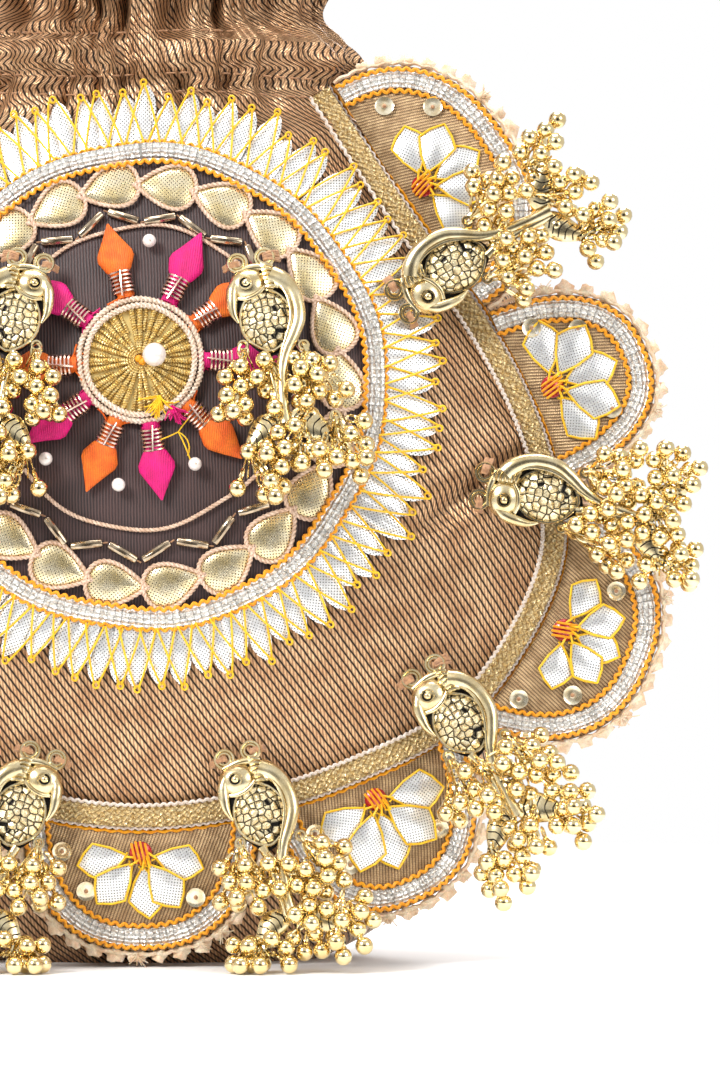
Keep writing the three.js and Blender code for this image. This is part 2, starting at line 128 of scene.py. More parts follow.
# Round tube along paths; with plies the radius swells that many times round, and the swelling turns
# once in every `pitch`, as in twisted cord.
def tube(paths, radius, finish, sides=6, facing=front, closed=False, plies=0, pitch=1.6, flat=1.0):
    paths = np.asarray(paths, float)
    if paths.ndim == 2:
        paths = paths[None]
    turn = roundTurn(sides)
    size = np.broadcast_to(radius, paths.shape[:2])[..., None] * np.ones(sides)
    if plies:
        gaps = np.linalg.norm(np.diff(paths, axis=1, prepend=paths[:, :1]), axis=-1)
        arc = np.cumsum(gaps, 1)
        total = arc[:, -1:] + (np.linalg.norm(paths[:, 0] - paths[:, -1], axis=-1)[:, None] if closed else 0)
        turns = np.maximum(np.round(2 * total / pitch), 1) / 2
        twist = 2 * pi * turns * arc / total
        size = size * (0.62 + 0.45 * np.abs(np.cos(plies / 2 * (turn - twist[..., None]))))
    section = np.stack([size * np.cos(turn), size * np.sin(turn) * flat], -1)
    return sweep(paths, section, finish, facing, closed)


# Pillow over outlines[k, point], which lie in a surface: rings shrink from the outline to its middle
# while their height rises as a quarter of a cosine to the given power.
def pillow(outlines, height, thickness, finish, facing=front, rings=4, power=0.5, middle=None, uvAxes=None):
    outlines = np.asarray(outlines, float)
    if outlines.ndim == 2:
        outlines = outlines[None]
    centre = outlines.mean(1, keepdims=True) if middle is None else np.asarray(middle, float)[:, None]
    share = np.concatenate([[0.0, 1.0], np.linspace(1, 0.06, rings)[1:]])
    share[0] = 0.55
    rise = height * np.maximum(1 - np.concatenate([[1.0, 1.0], share[2:]]) ** 2, 0) ** power
    rise[0] = -thickness
    facing = np.broadcast_to(facing, outlines.shape) if np.ndim(facing) < 3 else facing
    points = centre[:, None] + (outlines - centre)[:, None] * share[:, None, None]
    points = points + facing[:, None] * rise[:, None, None]
    offset = points - centre[:, None]
    if uvAxes is None:
        uvAxes = ([1.0, 0, 0], [0, 0, 1.0])
    first, second = (np.broadcast_to(np.asarray(axis, float), (len(outlines), 3)) for axis in uvAxes)
    uv = np.stack([(offset * first[:, None, None]).sum(-1), (offset * second[:, None, None]).sum(-1)], -1)
    return skin(points, finish, False, np.concatenate([uv, uv[:, :, :1]], 2))


# Ball of rings from pole to pole about the Y axis: radius times the sine, height times the cosine.
def balls(centres, radius, finish, sides=12, rings=7, squashed=1.0):
    centres = np.atleast_2d(centres)
    polar = np.linspace(0.22, pi - 0.22, rings)[:, None]
    turn = roundTurn(sides)
    unitBall = np.stack([np.sin(polar) * np.cos(turn), -np.cos(polar) * squashed * np.ones(sides),
                         np.sin(polar) * np.sin(turn)], -1)
    size = np.broadcast_to(radius, len(centres))[:, None, None, None]
    return skin(centres[:, None, None] + unitBall * size, finish)


# Loops of wire: an oval of the two half sizes along the given axes about each centre.
def wireLoops(centres, firstAxis, secondAxis, halfLong, halfShort, wire, finish, sides=4, steps=12):
    turn = roundTurn(steps)
    firstAxis, secondAxis = np.broadcast_arrays(firstAxis, secondAxis)
    paths = (centres[:, None] + firstAxis[:, None] * (halfLong * np.cos(turn))[:, None]
             + secondAxis[:, None] * (halfShort * np.sin(turn))[:, None])
    facing = unit(np.cross(firstAxis, secondAxis))[:, None]
    return tube(paths, wire, finish, sides, facing, closed=True)


# Spline through the points: a cubic between neighbours, with slopes from gaps to the power of a half.
def splineAt(points, at):
    points = np.asarray(points, float)
    padded = np.vstack([2 * points[0] - points[1], points, 2 * points[-1] - points[-2]])
    at = np.asarray(at, float)
    k = np.clip(at.astype(int), 0, len(points) - 2)
    p0, p1, p2, p3 = (padded[k + i] for i in range(4))
    gap = [np.maximum(np.linalg.norm(b - a, axis=-1, keepdims=True), 1e-4) ** 0.5
           for a, b in ((p0, p1), (p1, p2), (p2, p3))]
    start = ((p1 - p0) / gap[0] - (p2 - p0) / (gap[0] + gap[1]) + (p2 - p1) / gap[1]) * gap[1]
    end = ((p2 - p1) / gap[1] - (p3 - p1) / (gap[1] + gap[2]) + (p3 - p2) / gap[2]) * gap[1]
    t = (at - k)[..., None]
    return p1 + t * (start + t * (3 * (p2 - p1) - 2 * start - end + t * (2 * (p1 - p2) + start + end)))


def spline(points, count):
    return splineAt(points, np.linspace(0, len(points) - 1, count))


# Joins parts into one mesh object at the origin, riding on a body and standing for CAD nodes.
def makePiece(name, parts, body, nodes=(), sharp=50):
    points = np.concatenate([part["points"] for part in parts]) * 0.001
    starts = np.cumsum([0] + [len(part["points"]) for part in parts[:-1]])
    corners = np.concatenate([np.concatenate([(part["quads"] + s).ravel(), (part["tris"] + s).ravel()])
                              for part, s in zip(parts, starts)])
    sizes = np.concatenate([np.repeat([4, 3], [len(part["quads"]), len(part["tris"])]) for part in parts])
    uv = np.concatenate([np.concatenate([part["quadUv"].reshape(-1, 2), part["triUv"].reshape(-1, 2)])
                         for part in parts])
    used = list(dict.fromkeys(part["finish"] for part in parts))
    slots = np.concatenate([np.full(len(part["quads"]) + len(part["tris"]), used.index(part["finish"]))
                            for part in parts])
    mesh = bpy.data.meshes.new(name)
    mesh.vertices.add(len(points))
    mesh.vertices.foreach_set("co", points.astype(np.float32).ravel())
    mesh.loops.add(len(corners))
    mesh.loops.foreach_set("vertex_index", corners.astype(np.int32))
    mesh.polygons.add(len(sizes))
    mesh.polygons.foreach_set("loop_start", (np.cumsum(sizes) - sizes).astype(np.int32))
    mesh.polygons.foreach_set("material_index", slots.astype(np.int32))
    mesh.update(calc_edges=True)
    layer = mesh.uv_layers.new(name="surface")
    layer.data.foreach_set("uv", uv.astype(np.float32).ravel())
    mesh.polygons.foreach_set("use_smooth", np.ones(len(sizes), bool))
    mesh.set_sharp_from_angle(angle=math.radians(sharp))
    for finish in used:
        mesh.materials.append(finishes[finish])
    piece = bpy.data.objects.new(name, mesh)
    bpy.context.scene.collection.objects.link(piece)
    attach(piece, body)
    if nodes:
        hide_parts(*nodes)
    triangles = sum(2 * len(part["quads"]) + len(part["tris"]) for part in parts)
    triangleCount["all"] += triangles
    if triangles > 60000:
        print(name, "has", triangles, "triangles")
    return piece


triangleCount = {"all": 0}


# Node helpers for the finishes.
def addNode(tree, kind, values=None, links=None, **settings):
    node = tree.nodes.new("ShaderNode" + kind)
    for key, value in settings.items():
        setattr(node, key, value)
    for key, value in (values or {}).items():
        node.inputs[key].default_value = value
    for key, socket in (links or {}).items():
        tree.links.new(socket, node.inputs[key])
    return node


def calc(tree, operation, *terms):
    node = addNode(tree, "Math", operation=operation)
    for k, term in enumerate(terms):
        if isinstance(term, (int, float)):
            node.inputs[k].default_value = term
        else:
            tree.links.new(term, node.inputs[k])
    return node.outputs[0]


def newGroup(name, inputs, outputs):
    tree = bpy.data.node_groups.new(name, "ShaderNodeTree")
    for label, kind, value in inputs:
        socket = tree.interface.new_socket(label, in_out="INPUT", socket_type="NodeSocket" + kind)
        if value is not None:
            socket.default_value = value
    for label in outputs:
        tree.interface.new_socket(label, in_out="OUTPUT", socket_type="NodeSocketFloat")
    entry = tree.nodes.new("NodeGroupInput")
    leave = tree.nodes.new("NodeGroupOutput")
    return tree, entry.outputs, leave.inputs


# Parallel threads: distance from the nearest line of a given pitch and direction, bent by noise.
def buildThreadLines():
    tree, given, result = newGroup("threadLines", [
        ("Vector", "Vector", None), ("Angle", "Float", 0.0), ("Pitch", "Float", 1.0),
        ("Width", "Float", 0.3), ("Wobble", "Float", 0.1), ("Wobble Scale", "Float", 0.2)], ["Line", "Wave"])
    xyz = addNode(tree, "SeparateXYZ", links={0: given["Vector"]}).outputs
    across = calc(tree, "ADD", calc(tree, "MULTIPLY", xyz[0], calc(tree, "COSINE", given["Angle"])),
                  calc(tree, "MULTIPLY", xyz[1], calc(tree, "SINE", given["Angle"])))
    noise = addNode(tree, "TexNoise", links={"Vector": given["Vector"], "Scale": given["Wobble Scale"]})
    bent = calc(tree, "MULTIPLY_ADD", calc(tree, "SUBTRACT", noise.outputs[0], 0.5), given["Wobble"], across)
    turns = calc(tree, "DIVIDE", bent, given["Pitch"])
    share = calc(tree, "ABSOLUTE", calc(tree, "SUBTRACT", calc(tree, "FRACT", turns), 0.5))
    distance = calc(tree, "MULTIPLY", share, given["Pitch"])
    edge = calc(tree, "DIVIDE", calc(tree, "SUBTRACT", calc(tree, "MULTIPLY", given["Width"], 0.5), distance),
                calc(tree, "MULTIPLY", given["Width"], 0.5))
    line = addNode(tree, "Math", operation="ADD", use_clamp=True)
    tree.links.new(edge, line.inputs[0])
    line.inputs[1].default_value = 0.35
    tree.links.new(line.outputs[0], result["Line"])
    tree.links.new(calc(tree, "MULTIPLY", share, 2.0), result["Wave"])
    return tree


# Punched dots: distance from the middle of the nearest cell of a square grid turned by 45 degrees.
def buildPunchedDots():
    tree, given, result = newGroup("punchedDots", [
        ("Vector", "Vector", None), ("Pitch", "Float", 0.7), ("Radius", "Float", 0.17)], ["Dot"])
    xyz = addNode(tree, "SeparateXYZ", links={0: given["Vector"]}).outputs
    parts = []
    for operation in ("ADD", "SUBTRACT"):
        turned = calc(tree, "MULTIPLY", calc(tree, operation, xyz[0], xyz[1]), 0.7071)
        cell = calc(tree, "SUBTRACT", calc(tree, "FRACT", calc(tree, "DIVIDE", turned, given["Pitch"])), 0.5)
        parts.append(calc(tree, "POWER", calc(tree, "MULTIPLY", cell, given["Pitch"]), 2.0))
    distance = calc(tree, "SQRT", calc(tree, "ADD", *parts))
    dot = addNode(tree, "Math", operation="MULTIPLY", use_clamp=True)
    tree.links.new(calc(tree, "SUBTRACT", given["Radius"], distance), dot.inputs[0])
    dot.inputs[1].default_value = 14.0
    tree.links.new(dot.outputs[0], result["Dot"])
    return tree


# Feather scales: cells about scattered points, marked near the edges of each cell and domed inwards.
def buildScales():
    tree, given, result = newGroup("scales", [
        ("Vector", "Vector", None), ("Size", "Float", 2.0)], ["Gap", "Crown"])
    cells = addNode(tree, "TexVoronoi", feature="DISTANCE_TO_EDGE",
                    links={"Vector": given["Vector"], "Scale": calc(tree, "DIVIDE", 1.0, given["Size"])})
    cells.inputs["Randomness"].default_value = 0.55
    gap = addNode(tree, "MapRange", {"From Min": 0.03, "From Max": 0.11, "To Min": 1.0, "To Max": 0.0},
                  {0: cells.outputs["Distance"]})
    tree.links.new(gap.outputs[0], result["Gap"])
    tree.links.new(calc(tree, "MINIMUM", cells.outputs["Distance"], 0.3), result["Crown"])
    return tree


# Slow mottling and a fine grain from two noises.
def buildMottle():
    tree, given, result = newGroup("mottle", [
        ("Vector", "Vector", None), ("Coarse", "Float", 0.15), ("Fine", "Float", 4.0)], ["Patch", "Grain"])
    coarse = addNode(tree, "TexNoise", links={"Vector": given["Vector"], "Scale": given["Coarse"]})
    fine = addNode(tree, "TexNoise", links={"Vector": given["Vector"], "Scale": given["Fine"]})
    tree.links.new(coarse.outputs[0], result["Patch"])
    tree.links.new(fine.outputs[0], result["Grain"])
    return tree


groups = {"lines": buildThreadLines(), "dots": buildPunchedDots(), "scales": buildScales(),
          "mottle": buildMottle()}


def tone(colour):
    return (*[c / 12.92 if c <= 0.04045 else ((c + 0.055) / 1.055) ** 2.4 for c in colour], 1.0)


def mixColour(tree, share, first, second):
    node = addNode(tree, "Mix", data_type="RGBA")
    for k, term in ((0, share), (6, first), (7, second)):
        if isinstance(term, (int, float, tuple)):
            node.inputs[k].default_value = term
        else:
            tree.links.new(term, node.inputs[k])
    return node.outputs[2]


def useGroup(tree, name, vector, **values):
    node = addNode(tree, "Group", node_tree=groups[name])
    tree.links.new(vector, node.inputs["Vector"])
    for key, value in values.items():
        node.inputs[key.replace("_", " ")].default_value = value
    return node.outputs


# One finish: mottled colour, then dark or bright pattern lines, dots or scales, and bump from both.
def makeFinish(name, colour, second=None, patternColour=None, metallic=0.0, roughness=0.5, source="Object",
               lines=None, dots=None, scales=None, coarse=0.15, fine=4.0, grain=0.3, roughGrain=0.15,
               bump=0.3, depth=0.2, coat=0.0, sheen=0.0, translucent=0.0):
    material = bpy.data.materials.new(name)
    material.use_nodes = True
    tree = material.node_tree
    tree.nodes.clear()
    output = tree.nodes.new("ShaderNodeOutputMaterial")
    shader = tree.nodes.new("ShaderNodeBsdfPrincipled")
    tree.links.new(shader.outputs[0], output.inputs[0])
    place = addNode(tree, "TexCoord").outputs["Object" if source == "Object" else "UV"]
    scale = 1000.0 if source == "Object" else 1.0
    vector = addNode(tree, "Mapping", {"Scale": (scale,) * 3}, {"Vector": place}).outputs[0]
    patch = useGroup(tree, "mottle", vector, Coarse=coarse, Fine=fine)
    second = second or tuple(0.72 * c for c in colour)
    share = addNode(tree, "MapRange", {"From Min": 0.35, "From Max": 0.65}, {0: patch["Patch"]}).outputs[0]
    shade = mixColour(tree, share, tone(colour), tone(second))
    grained = addNode(tree, "MapRange", {"From Min": 0.3, "From Max": 0.7, "To Min": 0.0, "To Max": grain},
                      {0: patch["Grain"]}).outputs[0]
    shade = mixColour(tree, grained, shade, tone(tuple(0.45 * c for c in second)))
    height = calc(tree, "MULTIPLY", patch["Grain"], 0.4)
    marks = []
    if lines:
        for spec in lines if isinstance(lines, list) else [lines]:
            found = useGroup(tree, "lines", vector, **{k: v for k, v in spec.items() if k[0].isupper()})
            marks.append((found["Line"], spec.get("ink"), spec.get("share", 1.0)))
            height = calc(tree, "MULTIPLY_ADD", found["Wave"], -spec.get("relief", 1.0), height)
    if dots:
        found = useGroup(tree, "dots", vector, **dots)
        marks.append((found["Dot"], None, 1.0))
        height = calc(tree, "SUBTRACT", height, found["Dot"])
    if scales:
        found = useGroup(tree, "scales", vector, Size=scales)
        marks.append((found["Gap"], None, 1.0))
        height = calc(tree, "MULTIPLY_ADD", found["Crown"], 4.0, height)
    for mark, ink, strength in marks:
        ink = ink or patternColour or tuple(0.2 * c for c in colour)
        shade = mixColour(tree, calc(tree, "MULTIPLY", mark, strength), shade, tone(ink))
    tree.links.new(shade, shader.inputs["Base Color"])
    rough = calc(tree, "MULTIPLY_ADD", patch["Grain"], roughGrain, roughness - roughGrain / 2)
    tree.links.new(rough, shader.inputs["Roughness"])
    raised = addNode(tree, "Bump", {"Strength": bump, "Distance": depth * 0.001}, {"Height": height})
    tree.links.new(raised.outputs[0], shader.inputs["Normal"])
    shader.inputs["Metallic"].default_value = metallic
    shader.inputs["Coat Weight"].default_value = coat
    shader.inputs["Coat Roughness"].default_value = 0.08
    shader.inputs["Sheen Weight"].default_value = sheen
    if translucent:
        shader.inputs["Subsurface Weight"].default_value = translucent
        shader.inputs["Subsurface Scale"].default_value = 0.002
    finishes[name] = material


finishes = {}


# Settings of one set of parallel lines: direction, spacing, width, and how far and how slowly they bend.
def threadLines(angle, pitch, width, wobble=0.1, wobbleScale=0.2, **look):
    return {"Angle": angle, "Pitch": pitch, "Width": width, "Wobble": wobble,
            "Wobble_Scale": wobbleScale, **look}


blackLine = threadLines(0.611, 1.62, 0.62, 0.5, 0.16, ink=(0.045, 0.025, 0.02), relief=0.6)
twill = threadLines(0.1, 0.82, 0.42, 0.25, 0.9, ink=(0.44, 0.29, 0.18), share=0.7, relief=0.8)
makeFinish("pouchCloth", (1.0, 0.82, 0.63), (0.86, 0.66, 0.48), metallic=0.6, roughness=0.36, source="UV",
           lines=[twill, blackLine], coarse=0.12, fine=3.2, grain=0.4, bump=0.6, depth=0.3)
makeFinish("liningCloth", (0.42, 0.29, 0.20), source="UV", roughness=0.6, metallic=0.1,
           lines=threadLines(0.8, 0.6, 0.2, share=0.4), bump=0.3)
makeFinish("pouchInside", (0.36, 0.25, 0.18), source="UV", roughness=0.65,
           lines=threadLines(0.8, 0.6, 0.2, share=0.5), bump=0.3)
makeFinish("darkSatin", (0.22, 0.13, 0.12), (0.15, 0.085, 0.08), metallic=0.0, roughness=0.55,
           lines=threadLines(0.2, 0.75, 0.3, 0.5, 0.2, ink=(0.40, 0.29, 0.27), share=0.55),
           fine=3.0, grain=0.5, bump=0.5, depth=0.15)
cordPly = threadLines(0.8, 0.85, 0.45, 0.2, 1.0, ink=(0.55, 0.38, 0.27), share=0.5)
makeFinish("twistedCord", (0.98, 0.86, 0.76), (0.88, 0.73, 0.61), roughness=0.6, source="UV", lines=cordPly,
           coarse=0.3, fine=3.5, grain=0.3, bump=0.6)
makeFinish("rimCord", (1.0, 0.94, 0.86), (0.93, 0.82, 0.70), roughness=0.55, source="UV", lines=cordPly,
           coarse=0.4, fine=3.5, grain=0.3, bump=0.6)
makeFinish("silverGota", (1.0, 1.0, 0.99), (0.92, 0.92, 0.92), metallic=0.7, roughness=0.3, source="UV",
           dots={"Pitch": 0.72, "Radius": 0.2}, coarse=0.25, fine=2.5, grain=0.12, bump=0.5, depth=0.12)
makeFinish("silverRibbon", (1.0, 0.99, 0.96), (0.90, 0.89, 0.87), metallic=0.75, roughness=0.33, source="UV",
           lines=[threadLines(0.0, 1.9, 0.3, 1.6, 0.8, share=0.55),
                  threadLines(1.5708, 1.1, 0.2, 0.8, 0.9, share=0.4)],
           coarse=1.3, fine=3.0, grain=0.4, bump=0.9, depth=0.45)
makeFinish("goldGota", (0.99, 0.94, 0.81), (0.94, 0.85, 0.63), metallic=0.9, roughness=0.27, source="UV",
           dots={"Pitch": 0.74, "Radius": 0.2}, coarse=0.2, fine=2.5, grain=0.12, bump=0.55, depth=0.14)
for name, colour, second, coarse, sheen in (
        ("orangeThread", (1.0, 0.71, 0.12), (0.95, 0.58, 0.06), 1.2, 0.0),
        ("yellowThread", (1.0, 0.84, 0.18), (0.97, 0.73, 0.10), 1.0, 0.0),
        ("tanThread", (0.78, 0.58, 0.40), (0.62, 0.44, 0.30), 1.2, 0.3),
        ("whiteThread", (0.94, 0.90, 0.86), (0.84, 0.76, 0.68), 1.2, 0.3)):
    makeFinish(name, colour, second, roughness=0.55, coarse=coarse, fine=6, sheen=sheen)
makeFinish("bugleGlass", (0.82, 0.74, 0.62), (0.62, 0.53, 0.42), metallic=0.9, roughness=0.16, coarse=0.4,
           fine=2.0, grain=0.2, roughGrain=0.08, bump=0.1, coat=0.8)
makeFinish("goldPurl", (1.0, 0.92, 0.66), (0.96, 0.80, 0.42), metallic=0.55, roughness=0.3, source="UV",
           lines=threadLines(0.25, 0.62, 0.4, 0.1, 1.0, ink=(0.50, 0.33, 0.08), share=0.6),
           coarse=0.8, fine=4.0, grain=0.25, bump=0.6, depth=0.25)
makeFinish("pearl", (0.96, 0.93, 0.90), (0.90, 0.85, 0.82), metallic=0.1, roughness=0.18, coarse=0.5, fine=1.5,
           grain=0.06, roughGrain=0.05, bump=0.05, coat=0.7)
makeFinish("goldBraid", (1.0, 0.92, 0.72), (0.93, 0.79, 0.52), metallic=0.55, roughness=0.32, source="UV",
           patternColour=(0.55, 0.38, 0.16),
           lines=[threadLines(0.9, 1.2, 0.3, 0.9, 1.0, share=0.7),
                  threadLines(-0.9, 1.2, 0.3, 0.9, 1.0, share=0.5)],
           coarse=1.0, fine=5.0, grain=0.4, bump=0.9, depth=0.5)
makeFinish("tissueCloth", (0.82, 0.69, 0.51), (0.66, 0.53, 0.37), metallic=0.45, roughness=0.42, source="UV",
           lines=[threadLines(0.35, 0.78, 0.3, 0.3, 0.3, ink=(0.30, 0.21, 0.12), share=0.85),
                  threadLines(1.9, 0.45, 0.12, 0.2, 0.5, share=0.3)],
           coarse=0.3, fine=4.0, grain=0.4, bump=0.5, depth=0.2)
makeFinish("creamLace", (0.96, 0.88, 0.77), (0.87, 0.73, 0.58), roughness=0.5, coarse=0.4, fine=3.5, grain=0.3,
           bump=0.7, depth=0.4, translucent=0.15)
for name, colour, second, angle, share in (
        ("orangeSilk", (0.98, 0.48, 0.08), (0.93, 0.38, 0.04), 0.3, 0.35),
        ("magentaSilk", (0.93, 0.0, 0.50), (0.84, 0.0, 0.42), -0.3, 0.3)):
    slubs = threadLines(angle, 0.5, 0.14, 0.4, 0.4, share=share)
    makeFinish(name, colour, second, roughness=0.65, lines=slubs, coarse=0.3, fine=3.0, bump=0.6, depth=0.2)
makeFinish("copperWire", (0.98, 0.88, 0.82), (0.90, 0.74, 0.66), metallic=0.95, roughness=0.25, coarse=0.8,
           fine=4.0, grain=0.15, bump=0.1)
makeFinish("castGold", (0.95, 0.89, 0.73), (0.87, 0.78, 0.58), metallic=0.98, roughness=0.24, coarse=0.25,
           fine=2.0, grain=0.18, bump=0.15, depth=0.1)
makeFinish("castScales", (0.97, 0.91, 0.75), (0.90, 0.81, 0.62), metallic=0.8, roughness=0.28, source="UV",
           scales=1.9, patternColour=(0.06, 0.045, 0.03), coarse=0.3, fine=2.0, grain=0.15, bump=0.9, depth=0.5)
makeFinish("castRecess", (0.10, 0.075, 0.05), (0.05, 0.04, 0.03), metallic=0.7, roughness=0.5, coarse=0.5,
           fine=2.5, grain=0.3, bump=0.3)
makeFinish("bellGold", (0.96, 0.89, 0.70), (0.92, 0.82, 0.60), metallic=1.0, roughness=0.11, coarse=0.2,
           fine=1.2, grain=0.05, roughGrain=0.05, bump=0.03)
makeFinish("sequinClear", (0.97, 0.93, 0.82), (0.86, 0.78, 0.62), metallic=0.75, roughness=0.15, coarse=0.5,
           fine=2.0, grain=0.05, bump=0.1, coat=0.5)
makeFinish("redBead", (0.80, 0.13, 0.16), (0.62, 0.06, 0.12), metallic=0.3, roughness=0.25, coarse=0.6,
           fine=3.0, grain=0.3, bump=0.3, coat=0.6)
print("finishes made:", len(finishes))

# Pouch cloth: rows of height, half width and half depth; the crease's two ends beside the panel; and at
# each height how far the pleats reach, how the neck bulges and how deep a valley may go.
pouch = {
    "rows": np.array([[0, 46, 27], [8, 60, 34], [26, 74, 42], [60, 98, 49], [100, 118, 52], [130, 117, 50],
                      [160, 101, 45], [190, 79, 37], [212, 59, 29], [223, 50, 25], [234, 51, 25], [242, 43, 20],
                      [253, 47, 22], [276, 56, 27]], float),
    "power": 2.3, "columns": 360, "wall": 1.1, "pleats": 20, "pucker": 0.5,
    "crease": ((70, 110.5), (100, 131)),
    "reach": ([150, 185, 205, 216, 221.2, 224, 226, 231.5, 237, 240, 246, 262, 276],
              [0, 1.2, 3.4, 5.2, 3.9, 5.4, 4.2, 6.0, 3.6, 5.6, 6.4, 6.6, 6.8]),
    "bulge": ([205, 214, 221.2, 223.5, 226, 231.5, 237, 243, 252, 276],
              [0, 0.6, -0.8, 0.2, -0.7, 1.4, -0.9, -0.6, 0.4, 0]),
    "deepest": ([195, 210, 222, 227.5, 235, 238], [-2.8, -5.6, -5.6, -0.4, -0.4, -5.6]),
}
panel = {"height": 146.5, "ground": 56.6, "groundLift": 1.3, "clear": 78}
# Seam from the middle of the bottom up the right side; the left side is its mirror image.
seamPoints = [[0, 36.5], [30.5, 40.5], [56, 49], [80, 61.5], [97, 83], [105.3, 104],
              [104.5, 120], [97, 143], [85, 165], [66, 192], [46, 223]]
seamHalf = len(seamPoints) - 1
seamLine = [[-x, 0, z] for x, z in seamPoints[:0:-1]] + [[x, 0, z] for x, z in seamPoints]


# Smooth value of one profile column at heights z: a cubic between neighbouring rows.
def profileAt(column, z):
    rows = pouch["rows"]
    z = np.clip(z, rows[0, 0], rows[-1, 0])
    i = np.clip(np.searchsorted(rows[:, 0], z, side="left") - 1, 0, len(rows) - 2)
    low = np.maximum(np.arange(len(rows)) - 1, 0)
    high = np.minimum(np.arange(len(rows)) + 1, len(rows) - 1)
    slope = (rows[high, column] - rows[low, column]) / (rows[high, 0] - rows[low, 0])
    span = rows[i + 1, 0] - rows[i, 0]
    t = (z - rows[i, 0]) / span
    start, end = rows[i, column], rows[i + 1, column]
    first, last = slope[i] * span, slope[i + 1] * span
    rise = end - start
    return start + t * (first + t * (3 * rise - 2 * first - last + t * (first + last - 2 * rise)))


# Point of an oval section at angle t: width * cos^(2/p) and depth * sin^(2/p), with their signs kept.
def ovalAt(t, width, depth):
    c, s = np.cos(t), np.sin(t)
    power = 2 / pouch["power"]
    return width * np.sign(c) * np.abs(c) ** power, depth * np.sign(s) * np.abs(s) ** power


# Depth of the pouch's front at points of the front view: depth * (1 - (x / width)^p)^(1 / p).
def frontY(x, z):
    across = np.minimum(np.abs(x) / profileAt(1, z), 1)
    return middleY - profileAt(2, z) * (1 - across ** pouch["power"]) ** (1 / pouch["power"])


def onFront(x, z, lift):
    x, z, lift = np.broadcast_arrays(x, z, lift)
    return np.stack([x, frontY(x, z) - lift, z], -1).astype(float)


# Point of the panel: distance from its middle and angle clockwise from straight up.
def onPanel(radius, angle, lift, height=None):
    height = panel["height"] if height is None else height
    return onFront(radius * np.sin(angle), height + radius * np.cos(angle), lift)


# Outward and sideways directions of the panel at an angle clockwise from straight up.
def panelAxes(angle):
    angle = np.asarray(angle, float)
    outward = np.stack([np.sin(angle), 0 * angle, np.cos(angle)], -1)
    return outward, np.stack([np.cos(angle), 0 * angle, -np.sin(angle)], -1)


def seamAt(index):
    line = splineAt(seamLine, np.asarray(index, float) + seamHalf)
    line[..., 1] = frontY(line[..., 0], line[..., 2])
    return line


